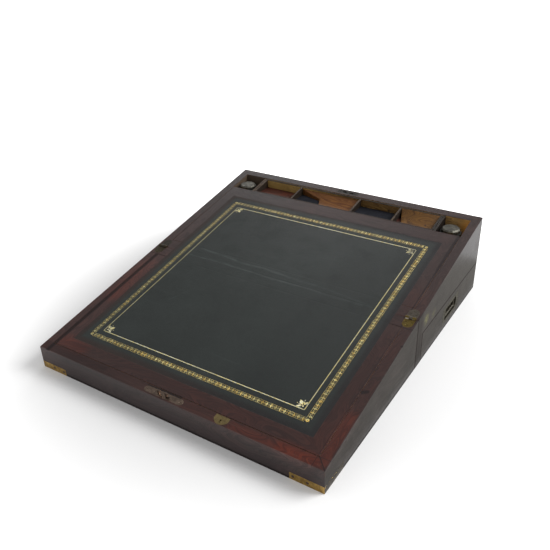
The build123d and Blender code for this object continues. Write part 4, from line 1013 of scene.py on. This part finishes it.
def flat_tooling():
    """All the gold, laid out flat, as one bmesh in metres."""
    shape = bmesh.new()
    tree = stamping_tree()
    band = rectangle_sides(BAND_X, BAND_FRONT, BAND_BACK, BAND_END)
    line = rectangle_sides(LINE_X, LINE_FRONT, LINE_BACK, DASH_SPACING)
    for name, outlines, sides, spacing, shake in (
        ("band_stamp", band_stamp(), band, BAND_SPACING, 0.09),
        ("dash_stamp", dash_stamp(), line, DASH_SPACING, 0.04),
    ):
        stamp = ready_stamp(name, outlines)
        shape.from_mesh(stamped(tree, sides, stamp, spacing, shake))
        bpy.data.objects.remove(stamp)
    gold_line(shape, LINE_X, LINE_FRONT, LINE_BACK, LINE_WIDTH)
    for x, y in ((-1, -1), (1, -1), (1, 1), (-1, 1)):
        press(shape, rosette(), (x * BAND_X, BAND_FRONT if y < 0 else BAND_BACK))
        inset = (x * (LINE_X - FLOWER_INSET), LINE_FRONT + FLOWER_INSET if y < 0 else LINE_BACK - FLOWER_INSET)
        press(shape, fleuron(), inset, atan2(-y, -x))
    bmesh.ops.recalc_face_normals(shape, faces=shape.faces)
    return shape


def cut_across(shape, up, keep=0):
    """The shape cut at up; keep is 1 to drop what lies before the cut and -1 to drop what lies after."""
    bmesh.ops.bisect_plane(
        shape,
        geom=list(shape.verts) + list(shape.edges) + list(shape.faces),
        dist=1e-7,
        plane_co=(0, up * MM, 0),
        plane_no=(0, 1, 0),
        clear_inner=keep == 1,
        clear_outer=keep == -1,
    )
    if keep:
        rim = [edge for edge in shape.edges if len(edge.link_faces) == 1]
        bmesh.ops.holes_fill(shape, edges=rim)


def gilding(name, low, high, creases):
    """The gold between low and high up the slope, laid on the skin."""
    shape = flat_tooling()
    if low > SKIN_FRONT:
        cut_across(shape, low, 1)
    if high < SKIN_BACK:
        cut_across(shape, high, -1)
    for up in creases:
        cut_across(shape, up)
    lie_on_face = Matrix.Translation((0, 0, FOLD_HEIGHT * MM)) @ Matrix.Rotation(PITCH, 4, "X")
    for vert in shape.verts:
        vert.co.x += GOLD_SHIFT * MM
        vert.co.z += skin_height(vert.co.x / MM, vert.co.y / MM) * MM
    bmesh.ops.transform(shape, matrix=lie_on_face, verts=shape.verts)
    bmesh.ops.recalc_face_normals(shape, faces=shape.faces)
    piece = piece_from(shape, name, GOLD)
    return piece


SPLIT = SKIN_SPLIT_Y / cos(PITCH)
HINGE_UP = FLAP_HINGE_Y / cos(PITCH)
BEND = 1.6  # a distance up and down the slope from each hinge
front_skin = skin("front_skin", SKIN_FRONT, -SPLIT, near(-HINGE_UP))
fold_skin = skin("fold_skin", -SPLIT, SPLIT, near(0.0))
rear_skin = skin("rear_skin", SPLIT, SKIN_BACK, near(HINGE_UP))
front_gold = gilding("front_gilding", SKIN_FRONT, -SPLIT, near(-HINGE_UP))
fold_gold = gilding("fold_gilding", -SPLIT, SPLIT, near(0.0))
rear_gold = gilding("rear_gilding", SPLIT, SKIN_BACK, near(HINGE_UP))
for piece in (front_skin, front_gold):
    face_point(0, -HINGE_UP - BEND)
    face_point(0, -HINGE_UP + BEND)
    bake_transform(piece)
for piece in (fold_skin, fold_gold):
    face_point(0, -BEND)
    face_point(0, BEND)
    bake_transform(piece)
for piece in (rear_skin, rear_gold):
    face_point(0, HINGE_UP - BEND)
    face_point(0, HINGE_UP + BEND)
    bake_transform(piece)
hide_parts("front_leather")
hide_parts("base_hinge_leather", "lid_hinge_leather")
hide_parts("rear_leather")
width = 2 * LEATHER_X * MM


# Floor, backdrop and light

ROOM_LIGHT = 0.42
BRIGHT_FLOOR = 0.351  # how far back the floor beside the slope is painted dim where the slope's polish reflects it
FLOOR_HALF = 6.0  # in metres


def looked_at(tree):
    """One where the camera sees a thing straight or through glass."""
    path = node(tree, "ShaderNodeLightPath", {}).outputs
    return Field(path["Is Camera Ray"]) | Field(path["Is Transmission Ray"])


def make_room():
    material, shader, place = start_material("white_floor")
    x, y = split(place)[:2]
    # Painted reflection: glossy rays see the floor beside the slope as a darker grey.
    beside = between(x, SIDE, SIDE + 0.005) * between(y, BRIGHT_FLOOR + 0.002, BRIGHT_FLOOR - 0.002)
    mirrored = field("LightPath", {}, "Is Glossy Ray", place.tree)
    base = mixed(beside * mirrored, (0.9, 0.9, 0.9, 1.0), (0.335, 0.33, 0.295, 1.0))
    lift = looked_at(place.tree) * between(vectors("LENGTH", place, output=1), 0.28, 0.64, 0.07, 0.95)
    set_look(shader, base_color=base, roughness=0.9, emission_color=(1, 1, 1, 1), emission_strength=lift)
    mesh = bpy.data.meshes.new("floor")
    corners = [(-1, -1, 0), (1, -1, 0), (1, 1, 0), (-1, 1, 0)]
    mesh.from_pydata([Vector(corner) * FLOOR_HALF for corner in corners], [], [(0, 1, 2, 3)])
    mesh.materials.append(material)
    placed("floor", mesh)
    world = bpy.data.worlds.new("white_room")
    world.use_nodes = True
    scene.world = world
    world.node_tree.nodes.clear()
    strength = looked_at(world.node_tree) * (1 - ROOM_LIGHT) + ROOM_LIGHT
    back = field("Background", {"Color": (1, 1, 1, 1), "Strength": strength})
    node(back.tree, "ShaderNodeOutputWorld", {"Surface": back})


make_camera()
make_room()
soft_lamp("key", (1.6, 0.9, 1.7), 1.3, 54.0)
soft_lamp("low_window", (-1.1, 2.2, 0.9), 1.2, 9.0)

scene.view_settings.view_transform = "Standard"
